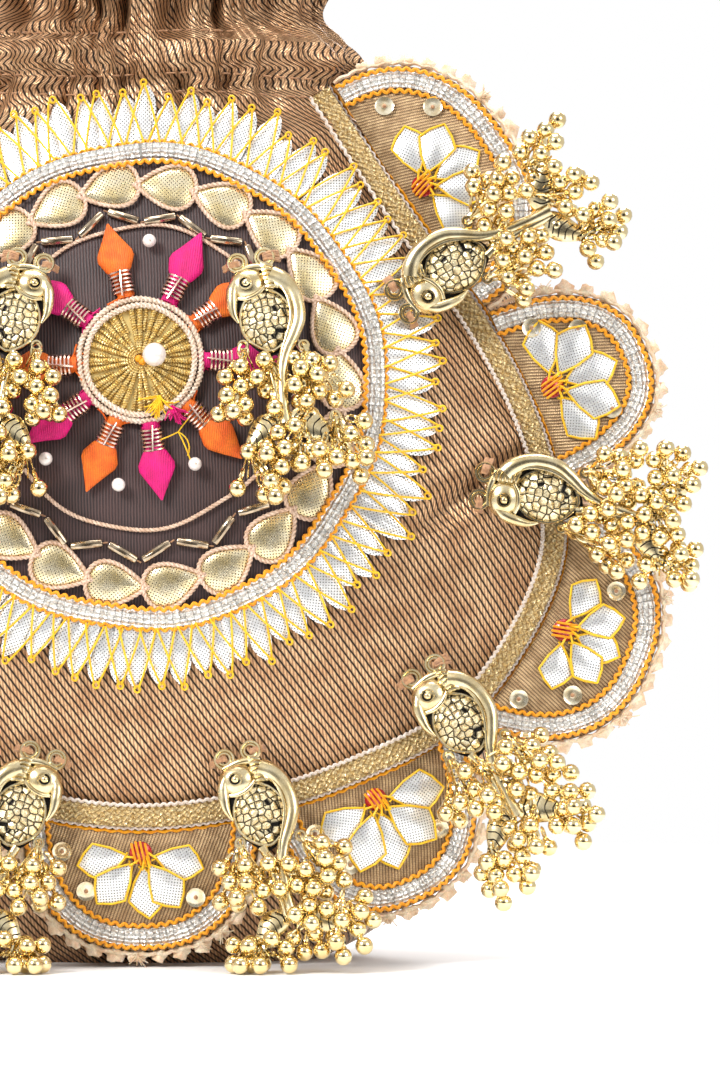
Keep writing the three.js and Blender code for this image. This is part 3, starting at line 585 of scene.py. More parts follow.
# Gathered cloth: oval rings from the bottom to the top of the frill, pushed along their outward
# direction by pleats that grow towards the neck, pinched at the stitch lines, with a diagonal crease
# at each side and puckers along the seam; then over the rim and down again on the inside.
def makePouch():
    heights = np.concatenate([np.linspace(0, 186, 72)[:-1], np.linspace(186, 276, 124)])
    t = roundTurn(pouch["columns"]) - pi / 2
    z = heights[:, None] + 0 * t
    width, depth = profileAt(1, z), profileAt(2, z)
    x, y = ovalAt(t, width, depth)
    outX = np.sign(x) * (np.abs(x) / width) ** 1.3 / width
    outY = np.sign(y) * (np.abs(y) / depth) ** 1.3 / depth
    size = np.hypot(outX, outY)
    outX, outY = outX / size, outY / size
    steps = np.hypot(np.diff(x, axis=1, append=x[:, :1]), np.diff(y, axis=1, append=y[:, :1]))
    share = np.cumsum(steps, 1) / steps.sum(1, keepdims=True)
    turn = 2 * pi * share
    drift = 0.5 * np.sin(z / 17) + 0.35 * np.sin(z / 7.3 + 3 * turn)
    phase = pouch["pleats"] * turn + 1.9 * np.sin(3 * turn + 0.7) + 1.5 * np.sin(7 * turn + 2.1) + drift
    ridge = 2 * (np.sin(phase / 2) ** 2 + 0.02) ** 0.4 - 1.3
    uneven = 0.72 + 0.28 * np.sin(11 * turn + 1.3 + z / 23) * np.sin(5 * turn + 0.4)
    small = np.sin(2.35 * phase + 1.1 + 2.2 * np.sin(z / 9 + 5 * turn))
    wander = (2.4 * np.sin(5 * turn + 0.8) + 1.6 * np.sin(11 * turn + 2)) * smoothStep(195, 215, z)
    drawn = z + wander
    reach = np.interp(drawn, *pouch["reach"])
    isFront = y < 0
    fromPanel = np.hypot(x, z - panel["height"])
    clear = np.where(isFront, smoothStep(panel["clear"] - 4, panel["clear"] + 3, fromPanel), 1)
    valleys = np.where(isFront, smoothStep(panel["clear"] - 14, panel["clear"] - 5, fromPanel), 1)
    push = reach * (ridge * uneven + 0.22 * small)
    push = np.maximum(push, 0) * clear + np.minimum(push, 0) * valleys
    push += np.interp(drawn, *pouch["bulge"]) * clear
    broad = 0.9 * np.sin(9 * turn + z / 30) * np.interp(z, [20, 60, 130, 180, 215], [0.2, 0.6, 1.0, 1.2, 0])
    push += broad * np.where(isFront, smoothStep(70, 100, fromPanel), 0.8)
    (startX, startZ), (endX, endZ) = pouch["crease"]
    length = math.hypot(endX - startX, endZ - startZ)
    alongX, alongZ = (endX - startX) / length, (endZ - startZ) / length
    along = (np.abs(x) - startX) * alongX + (z - startZ) * alongZ
    off = -(np.abs(x) - startX) * alongZ + (z - startZ) * alongX
    window = smoothStep(-6, 6, along) * (1 - smoothStep(length - 4, length + 8, along)) * isFront
    push += window * (1.9 * np.exp(-((off + 5) / 4.2) ** 2) - 2.6 * np.exp(-(off / 2.6) ** 2)
                      + 1.2 * np.exp(-((off - 6) / 4) ** 2))
    at = np.linspace(-seamHalf, seamHalf, 320)
    line = seamAt(at)
    near = (x[..., None] - line[:, 0]) ** 2 + (z[..., None] - line[:, 2]) ** 2
    nearest = near.argmin(-1)
    gap = np.sqrt(near.min(-1))
    pucker = np.cos(at[nearest] * 2 * pi * 2.9 + 1.5 * np.sin(at[nearest] * 3.1))
    push += isFront * (pouch["pucker"] * pucker * np.exp(-gap / 7) - 1.5 * np.exp(-(gap / 3) ** 2))
    push *= smoothStep(0, 14, z)
    push = np.maximum(push, np.interp(z, *pouch["deepest"]))
    outer = np.stack([x + outX * push, middleY + y + outY * push, z], -1)
    outer[..., 2] += np.where(z > 262, 1.0, 0) * 0.9 * np.sin(1.5 * phase) * smoothStep(262, 276, z)
    # Inner side: every third ring of the neck less the wall, and every eighth of the body, plain and deeper.
    rows = np.concatenate([[len(heights) - 1], np.arange(len(heights) - 3, 68, -3), np.arange(66, 1, -8)])
    plain = 1 - smoothStep(195, 208, z[rows])
    drawIn = (push[rows] - pouch["wall"]) * (1 - plain) - 4.4 * plain
    inner = np.stack([x[rows] + outX[rows] * drawIn, middleY + y[rows] + outY[rows] * drawIn, z[rows]], -1)
    inner[-1, :, 2] = 3
    shrink = np.array([0.02, 0.5])[:, None, None]
    centre = np.array([0, middleY, 0])
    bottom = centre + (outer[0] - centre) * shrink
    top = centre + (inner[-1] - centre) * shrink[::-1]
    top[..., 2] = 2.2
    rings = np.concatenate([bottom, outer, inner, top])
    # Cloth coordinates: length round the ring from the front or back middle, and height up the cloth.
    stretch = np.linalg.norm(np.diff(outer, axis=1, append=outer[:, :1]), axis=-1)
    arc = np.concatenate([np.zeros((len(heights), 1)), np.cumsum(stretch, 1)], 1)
    total = arc[:, -1:]
    column = np.arange(pouch["columns"] + 1)
    u = np.where(column <= pouch["columns"] // 4, arc, np.where(column > 3 * pouch["columns"] // 4,
                 arc - total, total / 2 - arc))
    rise = np.linalg.norm(np.diff(outer, axis=0, prepend=outer[:1]), axis=-1).mean(1)
    v = np.cumsum(rise)[:, None] + 0 * u
    uvOuter = np.stack([u, v], -1)
    uv = np.concatenate([uvOuter[:1] * shrink, uvOuter, uvOuter[rows], uvOuter[rows[-1:]] * shrink[::-1]])
    cloth = skin(rings, "pouchCloth", uv=uv)
    piece = makePiece("pouch_cloth_shell", [cloth], "bag", ["pouch"], sharp=80)
    piece.data.materials.append(finishes["pouchInside"])
    ringOf = np.repeat(np.arange(len(rings) - 1), pouch["columns"])
    inside = np.zeros(len(piece.data.polygons), np.int32)
    inside[:len(ringOf)] = ringOf >= len(bottom) + len(outer)
    piece.data.polygons.foreach_set("material_index", inside)


# Lining: a thinner bag inside the first, drawn in behind the cord channel.
def makeLining():
    heights = np.array([8, 30, 60, 100, 140, 175, 200, 214, 222, 225, 230, 236, 240, 244, 252, 262], float)
    t = roundTurn(96)
    inset = np.interp(heights, [180, 212], [6.5, 9.0])
    rings = []
    for extra in (0.0, 1.2):
        w, d = profileAt(1, heights) - inset - extra, profileAt(2, heights) - inset - extra
        ripple = 1 + 0.02 * np.sin(26 * t) * np.clip((heights - 190) / 40, 0, 1)[:, None]
        x, y = ovalAt(t, w[:, None] * ripple, d[:, None] * ripple)
        rings.append(np.stack([x, y + middleY, heights[:, None] + extra * (heights[:, None] < 9) + 0 * x], -1))
    outer, inner = rings[0], rings[1][::-1]
    centre = np.array([0, middleY, 0])
    floors = []
    for ring, level in ((outer[0], 3.4), (inner[-1], 4.8)):
        flat = centre + (ring - centre) * np.array([0.02, 0.75])[:, None, None]
        flat[..., 2] = level
        floors.append(flat)
    points = np.concatenate([floors[0], outer, inner, floors[1][::-1]])
    u = np.broadcast_to(np.arange(97) * 4.0, (len(points), 97))
    rise = np.linalg.norm(np.diff(points[:, 0], axis=0, prepend=points[:1, 0]), axis=-1)
    v = np.cumsum(rise)[:, None] + 0 * u
    piece = makePiece("lining_cloth_bag", [skin(points, "liningCloth", uv=np.stack([u, v], -1))], "bag",
                      ["lining"])


channel = {"height": 231.0, "cord": 1.05}


# Drawstring: a plied cord round the neck, just inside the channel.
def makeDrawstring():
    t = roundTurn(420)
    x, y = ovalAt(t, profileAt(1, channel["height"]) - 5.3, profileAt(2, channel["height"]) - 2.6)
    path = np.stack([x, y + middleY, np.full_like(t, channel["height"])], -1)
    cord = tube(path, channel["cord"], "twistedCord", 8, np.array([0, 0, 1.0]), True, plies=2, pitch=3.0)
    makePiece("neck_drawstring_cord", [cord], "bag", ["neck_drawstring"])


print("pouch")
makePouch()
makeLining()
makeDrawstring()

# Stitch lines of the neck: short running stitches along the channel's edges.
stitch = {"heights": (221.2, 226.0, 237.0), "length": 2.2, "gap": 1.3, "radius": 0.22}


# Running stitch: each stitch is an arc between two points of the line that rises in its middle.
def makeNeckStitches():
    parts = []
    for height in stitch["heights"]:
        pitch = stitch["length"] + stitch["gap"]
        reach = profileAt(1, height) * 0.94
        start = np.arange(-reach, reach - pitch, pitch)
        share = np.linspace(0, 1, 5)
        x = start[:, None] + share * stitch["length"]
        wave = 0.5 * np.sin(x / 9)
        lift = 1.1 + 0.9 * np.sin(pi * share) - 0.6
        parts.append(tube(onFront(x, height + wave, lift), stitch["radius"], "tanThread", 4))
    makePiece("neck_stitches", parts, "bag")


makeNeckStitches()

# Round panel, from the fringe inwards. Lengths in millimetres.
fringe = {"leaves": 84, "root": 60.6, "tip": 75.6, "halfWidth": 3.1, "height": 0.75, "lean": 0.35}


# Satin ground: rings about the panel's middle with a slight slackness.
def makeGround():
    radii = np.concatenate([[0.6, 8, 18, 28, 38, 47, 53], [panel["ground"]], [panel["ground"], 30, 0.6]])
    angle = roundTurn(96)
    lift = np.concatenate([np.full(7, 1.25), [1.1], [0.4, 0.4, 0.4]])[:, None]
    slack = 0.16 * np.sin(5 * angle + radii[:, None] / 9) * (lift > 1.2)
    points = onPanel(radii[:, None], angle, lift + slack)
    ground = skin(points, "darkSatin")
    piece = makePiece("panel_satin_ground", [ground], "bag", ["medallion_ground"])


# Gota leaf: full width from its root to half of its length, then narrowing to its tip as the root of a
# cosine, and leaning a little to one side.
def makeFringe():
    count = fringe["leaves"]
    rng = np.random.default_rng(11)
    pitch = 2 * pi / count
    angle = np.arange(count) * pitch + rng.normal(0, 0.008, count)
    tip = fringe["tip"] + rng.normal(0, 0.7, count) - 1.4 * (np.arange(count) % 2)
    t = np.linspace(0, 1, 9)
    half = fringe["halfWidth"] * np.cos(pi / 2 * np.clip((t - 0.5) / 0.51, 0, 1)) ** 0.7
    alongT = np.concatenate([t, t[::-1]])
    across = np.concatenate([half, -half[::-1]])
    radius = fringe["root"] + (tip - fringe["root"])[:, None] * alongT
    bend = angle[:, None] + across / 68 + fringe["lean"] * (alongT - 0.5) * pitch
    tilt = 0.35 * np.sign(across) * rng.uniform(-1, 1, count)[:, None]
    layer = 0.55 * (np.arange(count) % 2)[:, None]
    outline = onPanel(radius, bend, 2.1 + layer + tilt)
    outward, sideways = panelAxes(angle)
    leaves = pillow(outline, fringe["height"], 0.5, "silverGota", rings=4, uvAxes=(sideways, outward))
    # Couching thread: from each tip to the ring's edge one leaf on, both ways, so that the threads cross.
    share = np.linspace(0, 1, 7)
    threads = []
    for way in (-1, 1):
        turn = angle[:, None] + way * pitch * (0.05 + 0.95 * share) + rng.normal(0, 0.004, (count, 1))
        reach = tip[:, None] + 0.5 - (tip[:, None] - fringe["root"]) * share
        height = 3.5 + 0.3 * np.sin(pi * share) + 0.2 * way
        threads.append(tube(onPanel(reach, turn, height), 0.26, "yellowThread", 4))
    centres = onPanel(tip + 0.7, angle, 3.2)
    knots = wireLoops(centres, sideways, outward, 0.75, 0.85, 0.27, "yellowThread", 4, 8)
    makePiece("gota_leaf_fringe", [leaves, *threads, knots], "bag", ["gota_fringe"])


# Ribbon section: half width, depth below at the edges and the middle, and height of its shoulders.
def ribbonSection(half, edge, middle, shoulder):
    right = [[half, -edge], [half + 0.1, 0.1], [half - 1, shoulder], [0, 0.5]]
    left = [[1 - half, shoulder], [-half - 0.1, 0.1]]
    return np.array([[-half, -edge], [0, -middle], *right, *left])


# Ring's radius, and radius and number of waves of each edge thread.
ribbon = {"radius": 58.9, "edges": ((56.4, 162), (61.4, 168)), "thread": 0.42, "lift": 3.1}


# Slow drift of the ring's radius from a true circle.
def ribbonDrift(angle):
    return 0.45 * np.sin(5 * angle + 0.6) + 0.3 * np.sin(11 * angle)


# Ribbon ring: a flat band with crinkles, and a wavy picot thread along each of its edges.
def makeRibbonRing():
    angle = roundTurn(420)
    crinkle = 0.2 * np.sin(angle * 150) + 0.12 * np.sin(angle * 97)
    path = onPanel(ribbon["radius"] + ribbonDrift(angle), angle, ribbon["lift"] + crinkle)
    parts = [sweep(path, ribbonSection(2.2, 0.35, 0.5, 0.42), "silverRibbon", closed=True)]
    fine = roundTurn(1300)
    for radius, waves in ribbon["edges"]:
        line = onPanel(radius + ribbonDrift(fine) + 0.42 * np.sin(fine * waves), fine, ribbon["lift"] + 0.1)
        parts.append(tube(line, ribbon["thread"], "orangeThread", 4, closed=True))
    makePiece("ribbon_ring_band", parts, "bag", ["ribbon_ring"])


petals = {"count": 22, "radius": 50.6, "length": 15.2, "width": 10.6, "cord": 0.58, "tilt": 0.1}


# Petal outline round an angle a from its point: length by -cos(a) and width by sin(a) * sin(a / 2)^1.2.
def petalOutline(count, longer=0.0, wider=0.0):
    turn = roundTurn(count)
    along = -np.cos(turn) * (petals["length"] / 2 + longer)
    return along, (petals["width"] / 1.48 + wider) * np.sin(turn) * np.abs(np.sin(turn / 2)) ** 1.2


# Petals in a ring, each a small pillow with a twisted cord laid along its outline.
def makePetals():
    count = petals["count"]
    rng = np.random.default_rng(5)
    angle = (np.arange(count) + 0.4) * 2 * pi / count
    tilt = petals["tilt"] + rng.normal(0, 0.06, count)
    outward, sideways = panelAxes(angle)
    alongAxis = sideways * np.cos(tilt)[:, None] + outward * np.sin(tilt)[:, None]
    acrossAxis = outward * np.cos(tilt)[:, None] - sideways * np.sin(tilt)[:, None]
    radius = petals["radius"] + rng.normal(0, 0.4, count)
    centre = outward * radius[:, None] + np.array([0, 0, panel["height"]])

    def petalLine(outline, lift):
        along, across = (values[:, None] for values in outline)
        flat = centre[:, None] + alongAxis[:, None] * along + acrossAxis[:, None] * across
        return onFront(flat[..., 0], flat[..., 2], lift)

    outline = petalLine(petalOutline(28), 2.0)
    leaf = pillow(outline, 1.1, 0.5, "goldGota", rings=5, power=0.6, uvAxes=(alongAxis, acrossAxis))
    cord = tube(petalLine(petalOutline(150, 0.3, 0.5), 2.5), petals["cord"], "twistedCord", 6, closed=True,
                plies=2, pitch=2.4)
    makePiece("petals_and_cord", [leaf, cord], "bag", ["petal_ring"], sharp=60)


bugles = {"count": 30, "low": 40.4, "high": 44.6, "radius": 1.08, "length": 7.9}


# Bugle beads: tubes narrowing at each end, laid in a zigzag between two radii, with a short stitch at each
# corner.
def makeBugles():
    count = bugles["count"]
    rng = np.random.default_rng(3)
    angle = np.arange(count + 1) * 2 * pi / count
    radius = np.where(np.arange(count + 1) % 2 == 0, bugles["low"], bugles["high"])
    radius = radius + rng.normal(0, 0.35, count + 1)
    radius[-1] = radius[0]
    x, z = radius * np.sin(angle), panel["height"] + radius * np.cos(angle)
    corner = np.stack([x, z], -1)
    middle = (corner[1:] + corner[:-1]) / 2
    heading = unit(corner[1:] - corner[:-1])
    share = np.array([-0.5, -0.497, -0.47, 0, 0.47, 0.497, 0.5]) * bugles["length"]
    flat = middle[:, None] + heading[:, None] * share[:, None]
    path = onFront(flat[..., 0], flat[..., 1], 2.3)
    size = bugles["radius"] * np.array([0.55, 0.9, 1, 1, 1, 0.9, 0.55])
    beads = tube(path, size, "bugleGlass", 10)
    threadPath = np.stack([corner[:-1] - heading * 0.4, corner[:-1] + heading * 0.8], 1)
    stitches = tube(onFront(threadPath[..., 0], threadPath[..., 1], 2.2), 0.2, "tanThread", 4)
    makePiece("bugle_bead_zigzag", [beads, stitches], "bag", ["bugle_bead_ring"], sharp=35)


innerCord = {"radius": 38, "height": 148.4, "thickness": 0.55}


def makeCordRing():
    angle = roundTurn(760)
    wander = 0.5 * np.sin(4 * angle + 1) + 0.35 * np.sin(9 * angle)
    path = onPanel(innerCord["radius"] + wander, angle, 2.1, innerCord["height"])
    cord = tube(path, innerCord["thickness"], "twistedCord", 6, closed=True, plies=2, pitch=1.7)
    makePiece("inner_cord_ring", [cord], "bag", ["cord_ring"])


print("round panel")
makeGround()
makeFringe()
makeRibbonRing()
makePetals()
makeBugles()
makeCordRing()

flower = {"height": 152.6, "budAngles": [346, 25, 55, 90, 134, 171, 202, 234, 266, 306],
          "budFrom": 21.6, "budTo": 35.6, "budHalf": 4.5, "wrapFrom": 17.6, "wrapTo": 22.6}


# Bud: oval rings whose half width rises quickly from the wrap and then falls straight to the point,
# with two fold lines pressed into its face; wire turns and a frayed tail behind it.
def makeBud(number, degrees):
    rng = np.random.default_rng(20 + number)
    angle = math.radians(degrees)
    silk = "orangeSilk" if number % 2 == 0 else "magentaSilk"
    outward, sideways = panelAxes(angle)
    middle = np.array([0, 0, flower["height"]])

    def place(distance, across, lift):
        flat = middle + outward * np.asarray(distance)[..., None] + sideways * np.asarray(across)[..., None]
        return onFront(flat[..., 0], flat[..., 2], lift)

    t = np.array([0, 0.06, 0.14, 0.24, 0.34, 0.45, 0.58, 0.72, 0.85, 0.95, 1.0])[:, None]
    turn = roundTurn(20)
    half = flower["budHalf"] * np.interp(t, [0, 0.14, 0.34, 0.45, 1.0], [0.42, 0.72, 1.0, 0.97, 0.05])
    thick = 2.0 * np.interp(t, [0, 0.2, 0.45, 1.0], [0.8, 1.15, 1.0, 0.12])
    fold = (1 - 0.22 * np.exp(-((np.cos(turn) - 0.35) / 0.13) ** 2)
            - 0.16 * np.exp(-((np.cos(turn) + 0.5) / 0.1) ** 2))
    across = half * np.cos(turn) * (1 + 0.05 * np.sin(5 * t + number))
    lift = 3.2 + thick * np.sin(turn) * np.where(np.sin(turn) > 0, fold, 0.9)
    distance = flower["budFrom"] + (flower["budTo"] - flower["budFrom"]) * t + 0 * turn
    body = skin(place(distance, across, lift), silk)
    neck = tube(place(np.linspace(16, 23, 6), np.zeros(6), np.full(6, 3.1)), 1.9, silk, 8, flat=0.75)
    parts = [body, neck]
    turns = np.linspace(flower["wrapFrom"], flower["wrapTo"], 6)
    circle = roundTurn(16)
    radial = turns[:, None] + 0.35 * np.sin(circle)
    across = (2.7 + 0.12 * np.cos(turns[:, None] * 2)) * np.cos(circle)
    lift = 3.0 + 2.05 * np.sin(circle)
    loops = place(radial, across, np.broadcast_to(lift, radial.shape))
    parts.append(tube(loops, 0.33, "copperWire", 5, outward, closed=True))
    tieLift = 5.1 + 0.35 * np.sin(np.linspace(0, pi, 9))
    tie = place(np.linspace(16.8, 23.2, 9), np.linspace(-0.5, 0.4, 9), tieLift)
    parts.append(tube(tie, 0.28, "copperWire", 5))
    count = 16
    start = rng.uniform(-1.9, 1.9, count)
    share = np.linspace(0, 1, 6)
    swing = rng.normal(0, 1.7, count)[:, None] * share ** 1.5
    across = start[:, None] + swing + 0.3 * np.sin(5 * share + start[:, None] * 4)
    reach = 17.4 - rng.uniform(1.4, 3.6, count)[:, None] * share
    lift = 2.3 + rng.uniform(-0.3, 1.6, count)[:, None] * (0.4 + 0.6 * share)
    parts.append(tube(place(reach, across, lift), 0.22, silk, 4))
    flare = place(16.6 + 0.5 * np.cos(circle) - 1.6 * np.abs(np.sin(circle)), 2.6 * np.cos(circle), 2.2)
    parts.append(pillow(flare, 0.9, 0.4, silk, rings=3))
    makePiece(f"silk_bud_{number + 1}", parts, "bag", [f"bud_{number + 1}"])


# Rosette: bullion spokes, each a tube whose radius goes up and down along it like a close coil.
def makeRosette():
    rng = np.random.default_rng(9)
    count = 24
    angle = np.arange(count) * 2 * pi / count + rng.normal(0, 0.03, count)
    share = np.linspace(0, 1, 30)
    radius = 1.6 + 11.4 * share
    path = onPanel(radius + 0 * angle[:, None], angle[:, None] + 0 * radius, 3.2, flower["height"])
    coil = 0.5 + 0.28 * share + 0.12 * np.where(np.arange(30) % 2 == 0, 1, -1)
    spokes = tube(path, coil, "goldPurl", 7)
    half = angle + pi / count
    outer = np.linspace(7.4, 13.0, 16)
    path = onPanel(outer + 0 * half[:, None], half[:, None] + 0 * outer, 3.0, flower["height"])
    fillers = tube(path, 0.5 + 0.12 * np.where(np.arange(16) % 2 == 0, 1, -1), "goldPurl", 6)
    circle = roundTurn(48)
    radii = np.array([0.5, 7, 13.4, 13.4, 0.5])[:, None]
    lift = np.array([2.6, 2.6, 2.6, 1.8, 1.8])[:, None]
    base = skin(onPanel(radii, circle, lift, flower["height"]), "goldPurl")
    knot = balls(onFront(np.array([-0.4, 0.5]), flower["height"] + np.array([0.3, -0.4]), np.array([4.2, 4.1])),
                 1.0, "orangeThread", 8, 5)
    makePiece("bullion_rosette", [base, spokes, fillers, knot], "bag", ["rosette"])


def makeRosetteRim():
    angle = roundTurn(400)
    parts = [tube(onPanel(radius + 0.12 * np.sin(6 * angle + radius), angle, lift, flower["height"]), size,
                  "rimCord", 8, closed=True, plies=2, pitch=2.1)
             for radius, size, lift in ((13.7, 0.8, 4.0), (15.3, 0.85, 3.3))]
    makePiece("rosette_cord_rim", parts, "bag", ["rosette_rim"])


# Loose thread tufts: fibres that leave one point in a fan and curl as they go.
def tuft(x, z, lift, heading, spreadAngle, length, count, finish, seed, radius=0.17):
    rng = np.random.default_rng(seed)
    share = np.linspace(0, 1, 8)
    turn = heading + rng.normal(0, spreadAngle, count)[:, None] + rng.normal(0, 0.8, count)[:, None] * share
    reach = length * rng.uniform(0.6, 1.1, count)[:, None] / 7
    px = x + np.cumsum(np.cos(turn) * reach, 1) - np.cos(turn[:, :1]) * reach
    pz = z + np.cumsum(np.sin(turn) * reach, 1) - np.sin(turn[:, :1]) * reach
    rise = lift + rng.uniform(0.2, 1.4, count)[:, None] * np.sin(pi * share * 0.8)
    return tube(onFront(px, pz, rise), radius, finish, 4)


pearls = {"centre": (3.65, 153.85), "big": 3.0, "little": 1.75,
          "small": [(2, 182.8), (-23.5, 127.8), (-5.3, 121.3), (13.8, 126.5)]}


def makePearls():
    centre = onFront(*pearls["centre"], 1.8 + 2 + 3 + 0.5)
    seat = wireLoops(centre[None] + [[0, 2.4, 0]], [[1.0, 0, 0]], [[0, 0, 1.0]], 2.2, 2.2, 0.3, "whiteThread")
    parts = [balls(centre, pearls["big"], "pearl", 20, 12), seat]
    makePiece("centre_pearl_bead", parts, "bag", ["centre_pearl"])
    for number, (x, z) in enumerate(pearls["small"]):
        middle = onFront(x, z, 1.8 + 1.7 + 0.5)
        knot = balls(middle + [0.2, -1.6, 0.1], 0.35, "whiteThread", 6, 4)
        parts = [balls(middle, pearls["little"], "pearl", 14, 9), knot]
        makePiece(f"small_pearl_bead_{number + 1}", parts, "bag", [f"small_pearl_{number + 1}"])
    tufts = [tuft(5, 143.6, 4.4, -1.7, 0.5, 5.5, 26, "yellowThread", 1),
             tuft(8, 141.2, 4.6, -1.2, 0.4, 5.0, 20, "magentaSilk", 2),
             tuft(9.6, 134.5, 3.6, -0.6, 0.8, 9.0, 4, "yellowThread", 3)]
    makePiece("thread_tufts", tufts, "bag")


print("flower")
for number, degrees in enumerate(flower["budAngles"]):
    makeBud(number, degrees)
makeRosette()
makeRosetteRim()
makePearls()

braid = {"halfWidth": 2.6, "thickness": 1.1, "offset": 1.6, "lift": 2.3}


# Line beside the seam at a distance to its inner side, lifted off the pouch.
def besideSeam(distance, lift, at, wave=0.0):
    ahead, behind = seamAt(np.minimum(at + 0.05, seamHalf)), seamAt(np.maximum(at - 0.05, -seamHalf))
    tangent = ahead - behind
    inward = unit(np.stack([-tangent[:, 2], 0 * tangent[:, 0], tangent[:, 0]], -1))
    line = seamAt(at) + inward * (distance + np.asarray(wave)[..., None] if np.ndim(wave) else distance)
    return onFront(line[:, 0], line[:, 2], lift)


# Braid: a flat strip whose face rises and falls in crossing waves; a pale picot thread on each edge.
def makeBraid():
    at = np.linspace(-seamHalf, seamHalf, 1150)
    path = besideSeam(braid["offset"], braid["lift"], at)
    arc = np.cumsum(np.linalg.norm(np.diff(path, axis=0, prepend=path[:1]), axis=-1))[:, None]
    place = np.linspace(-1, 1, 9)
    face = braid["thickness"] * (1 - 0.45 * place ** 4)
    weave = 0.3 * np.sin(arc * 2.5 + place * 5) + 0.22 * np.sin(arc * 1.7 - place * 7 + 1)
    top = np.stack([braid["halfWidth"] * place + 0 * arc, face + weave], -1)
    low = np.stack([braid["halfWidth"] * place[::-2] * 0.96 + 0 * arc, -0.9 + 0 * place[::-2] + 0 * arc], -1)
    section = np.concatenate([top, low], 1)[None]
    parts = [sweep(path, section, "goldBraid")]
    fine = np.linspace(-seamHalf, seamHalf, 1500)
    for distance, finish in ((-1.3, "whiteThread"), (4.5, "whiteThread")):
        wave = 0.25 * np.sin(np.linspace(0, 2 * pi * 330, 1500))
        parts.append(tube(besideSeam(distance, braid["lift"] + 0.5, fine, wave), 0.4, finish, 4))
    parts.append(tube(besideSeam(-2.2, 2.4, fine, 0.2 * np.sin(fine * 60)), 0.42, "orangeThread", 4))
    makePiece("seam_braid_strip", parts, "bag", ["seam_braid"])


makeBraid()

flaps = {"right": [("lower", 1, 3, 38), ("side", 3, 6, 39.5), ("upper", 6, 8, 36), ("top", 8, 10, 32)],
         "bottom": (-1, 1, 36.5), "power": 2.4, "lean": 0.12, "thickness": 1.8, "seamOffset": 2.4}


# Plate of one flap: its middle, its axes along and out from the seam, and how far forward it clears the pouch.
def flapPlate(start, end, depth):
    a, b = seamAt(start), seamAt(end)
    middle, along = (a + b) / 2, b - a
    half = np.linalg.norm(along) / 2 - 0.6
    along = unit(along)
    outward = np.array([along[2], flaps["lean"], -along[0]])
    outward = unit(outward - along * (outward @ along))
    edge = seamAt(np.linspace(start, end, 25)) - middle
    seamS, seamN = edge @ along, edge @ outward + flaps["seamOffset"]
    plate = {"middle": middle, "along": along, "outward": outward, "half": half, "depth": depth,
             "seam": (seamS, seamN), "facing": unit(np.cross(outward, along))}
    s, n = rimOf(plate, 0, 60)
    s, n = np.concatenate([s, np.clip(seamS, -half, half)]), np.concatenate([n, seamN])
    points = middle + along * s[:, None] + outward * n[:, None]
    over = np.abs(points[:, 0]) < profileAt(1, points[:, 2])
    forward = max(0, np.max(np.where(over, points[:, 1] - frontY(points[:, 0], points[:, 2]), 0)))
    plate["middle"] = middle - np.array([0, forward + 0.5 + flaps["thickness"], 0])
    return plate


# Rounded edge of a flap, drawn in by `inset`: half * |cos|^(2/p) and depth * sin^(2/p).
def rimOf(plate, inset, count, low=0.13):
    angle = np.linspace(low, pi - low, count)
    c = np.cos(angle)
    s = (plate["half"] - inset) * np.sign(c) * np.abs(c) ** (2 / flaps["power"])
    n = (plate["depth"] - inset) * np.sin(angle) ** (2 / flaps["power"])
    return s, n


def onPlate(plate, s, n, lift):
    s, n, lift = np.broadcast_arrays(s, n, lift)
    return (plate["middle"] + plate["along"] * s[..., None] + plate["outward"] * n[..., None]
            + plate["facing"] * lift[..., None])


# Even steps along the flap's rim, with their outward direction in the plate.
def evenRim(plate, inset, step, low=0.045):
    s, n = rimOf(plate, inset, 400, low)
    arc = np.concatenate([[0], np.cumsum(np.hypot(np.diff(s), np.diff(n)))])
    at = np.arange(step / 2, arc[-1], step)
    s, n = np.interp(at, arc, s), np.interp(at, arc, n)
    ds, dn = np.gradient(s), np.gradient(n)
    size = np.hypot(ds, dn)
    return s, n, dn / size, -ds / size


# Thread along a flap's rim that waves outwards, from arrays of even steps.
def rimThread(plate, steps, wave, lift, radius, finish, sides):
    s, n, outS, outN = steps
    return tube(onPlate(plate, s + outS * wave, n + outN * wave, lift), radius, finish, sides, plate["facing"])


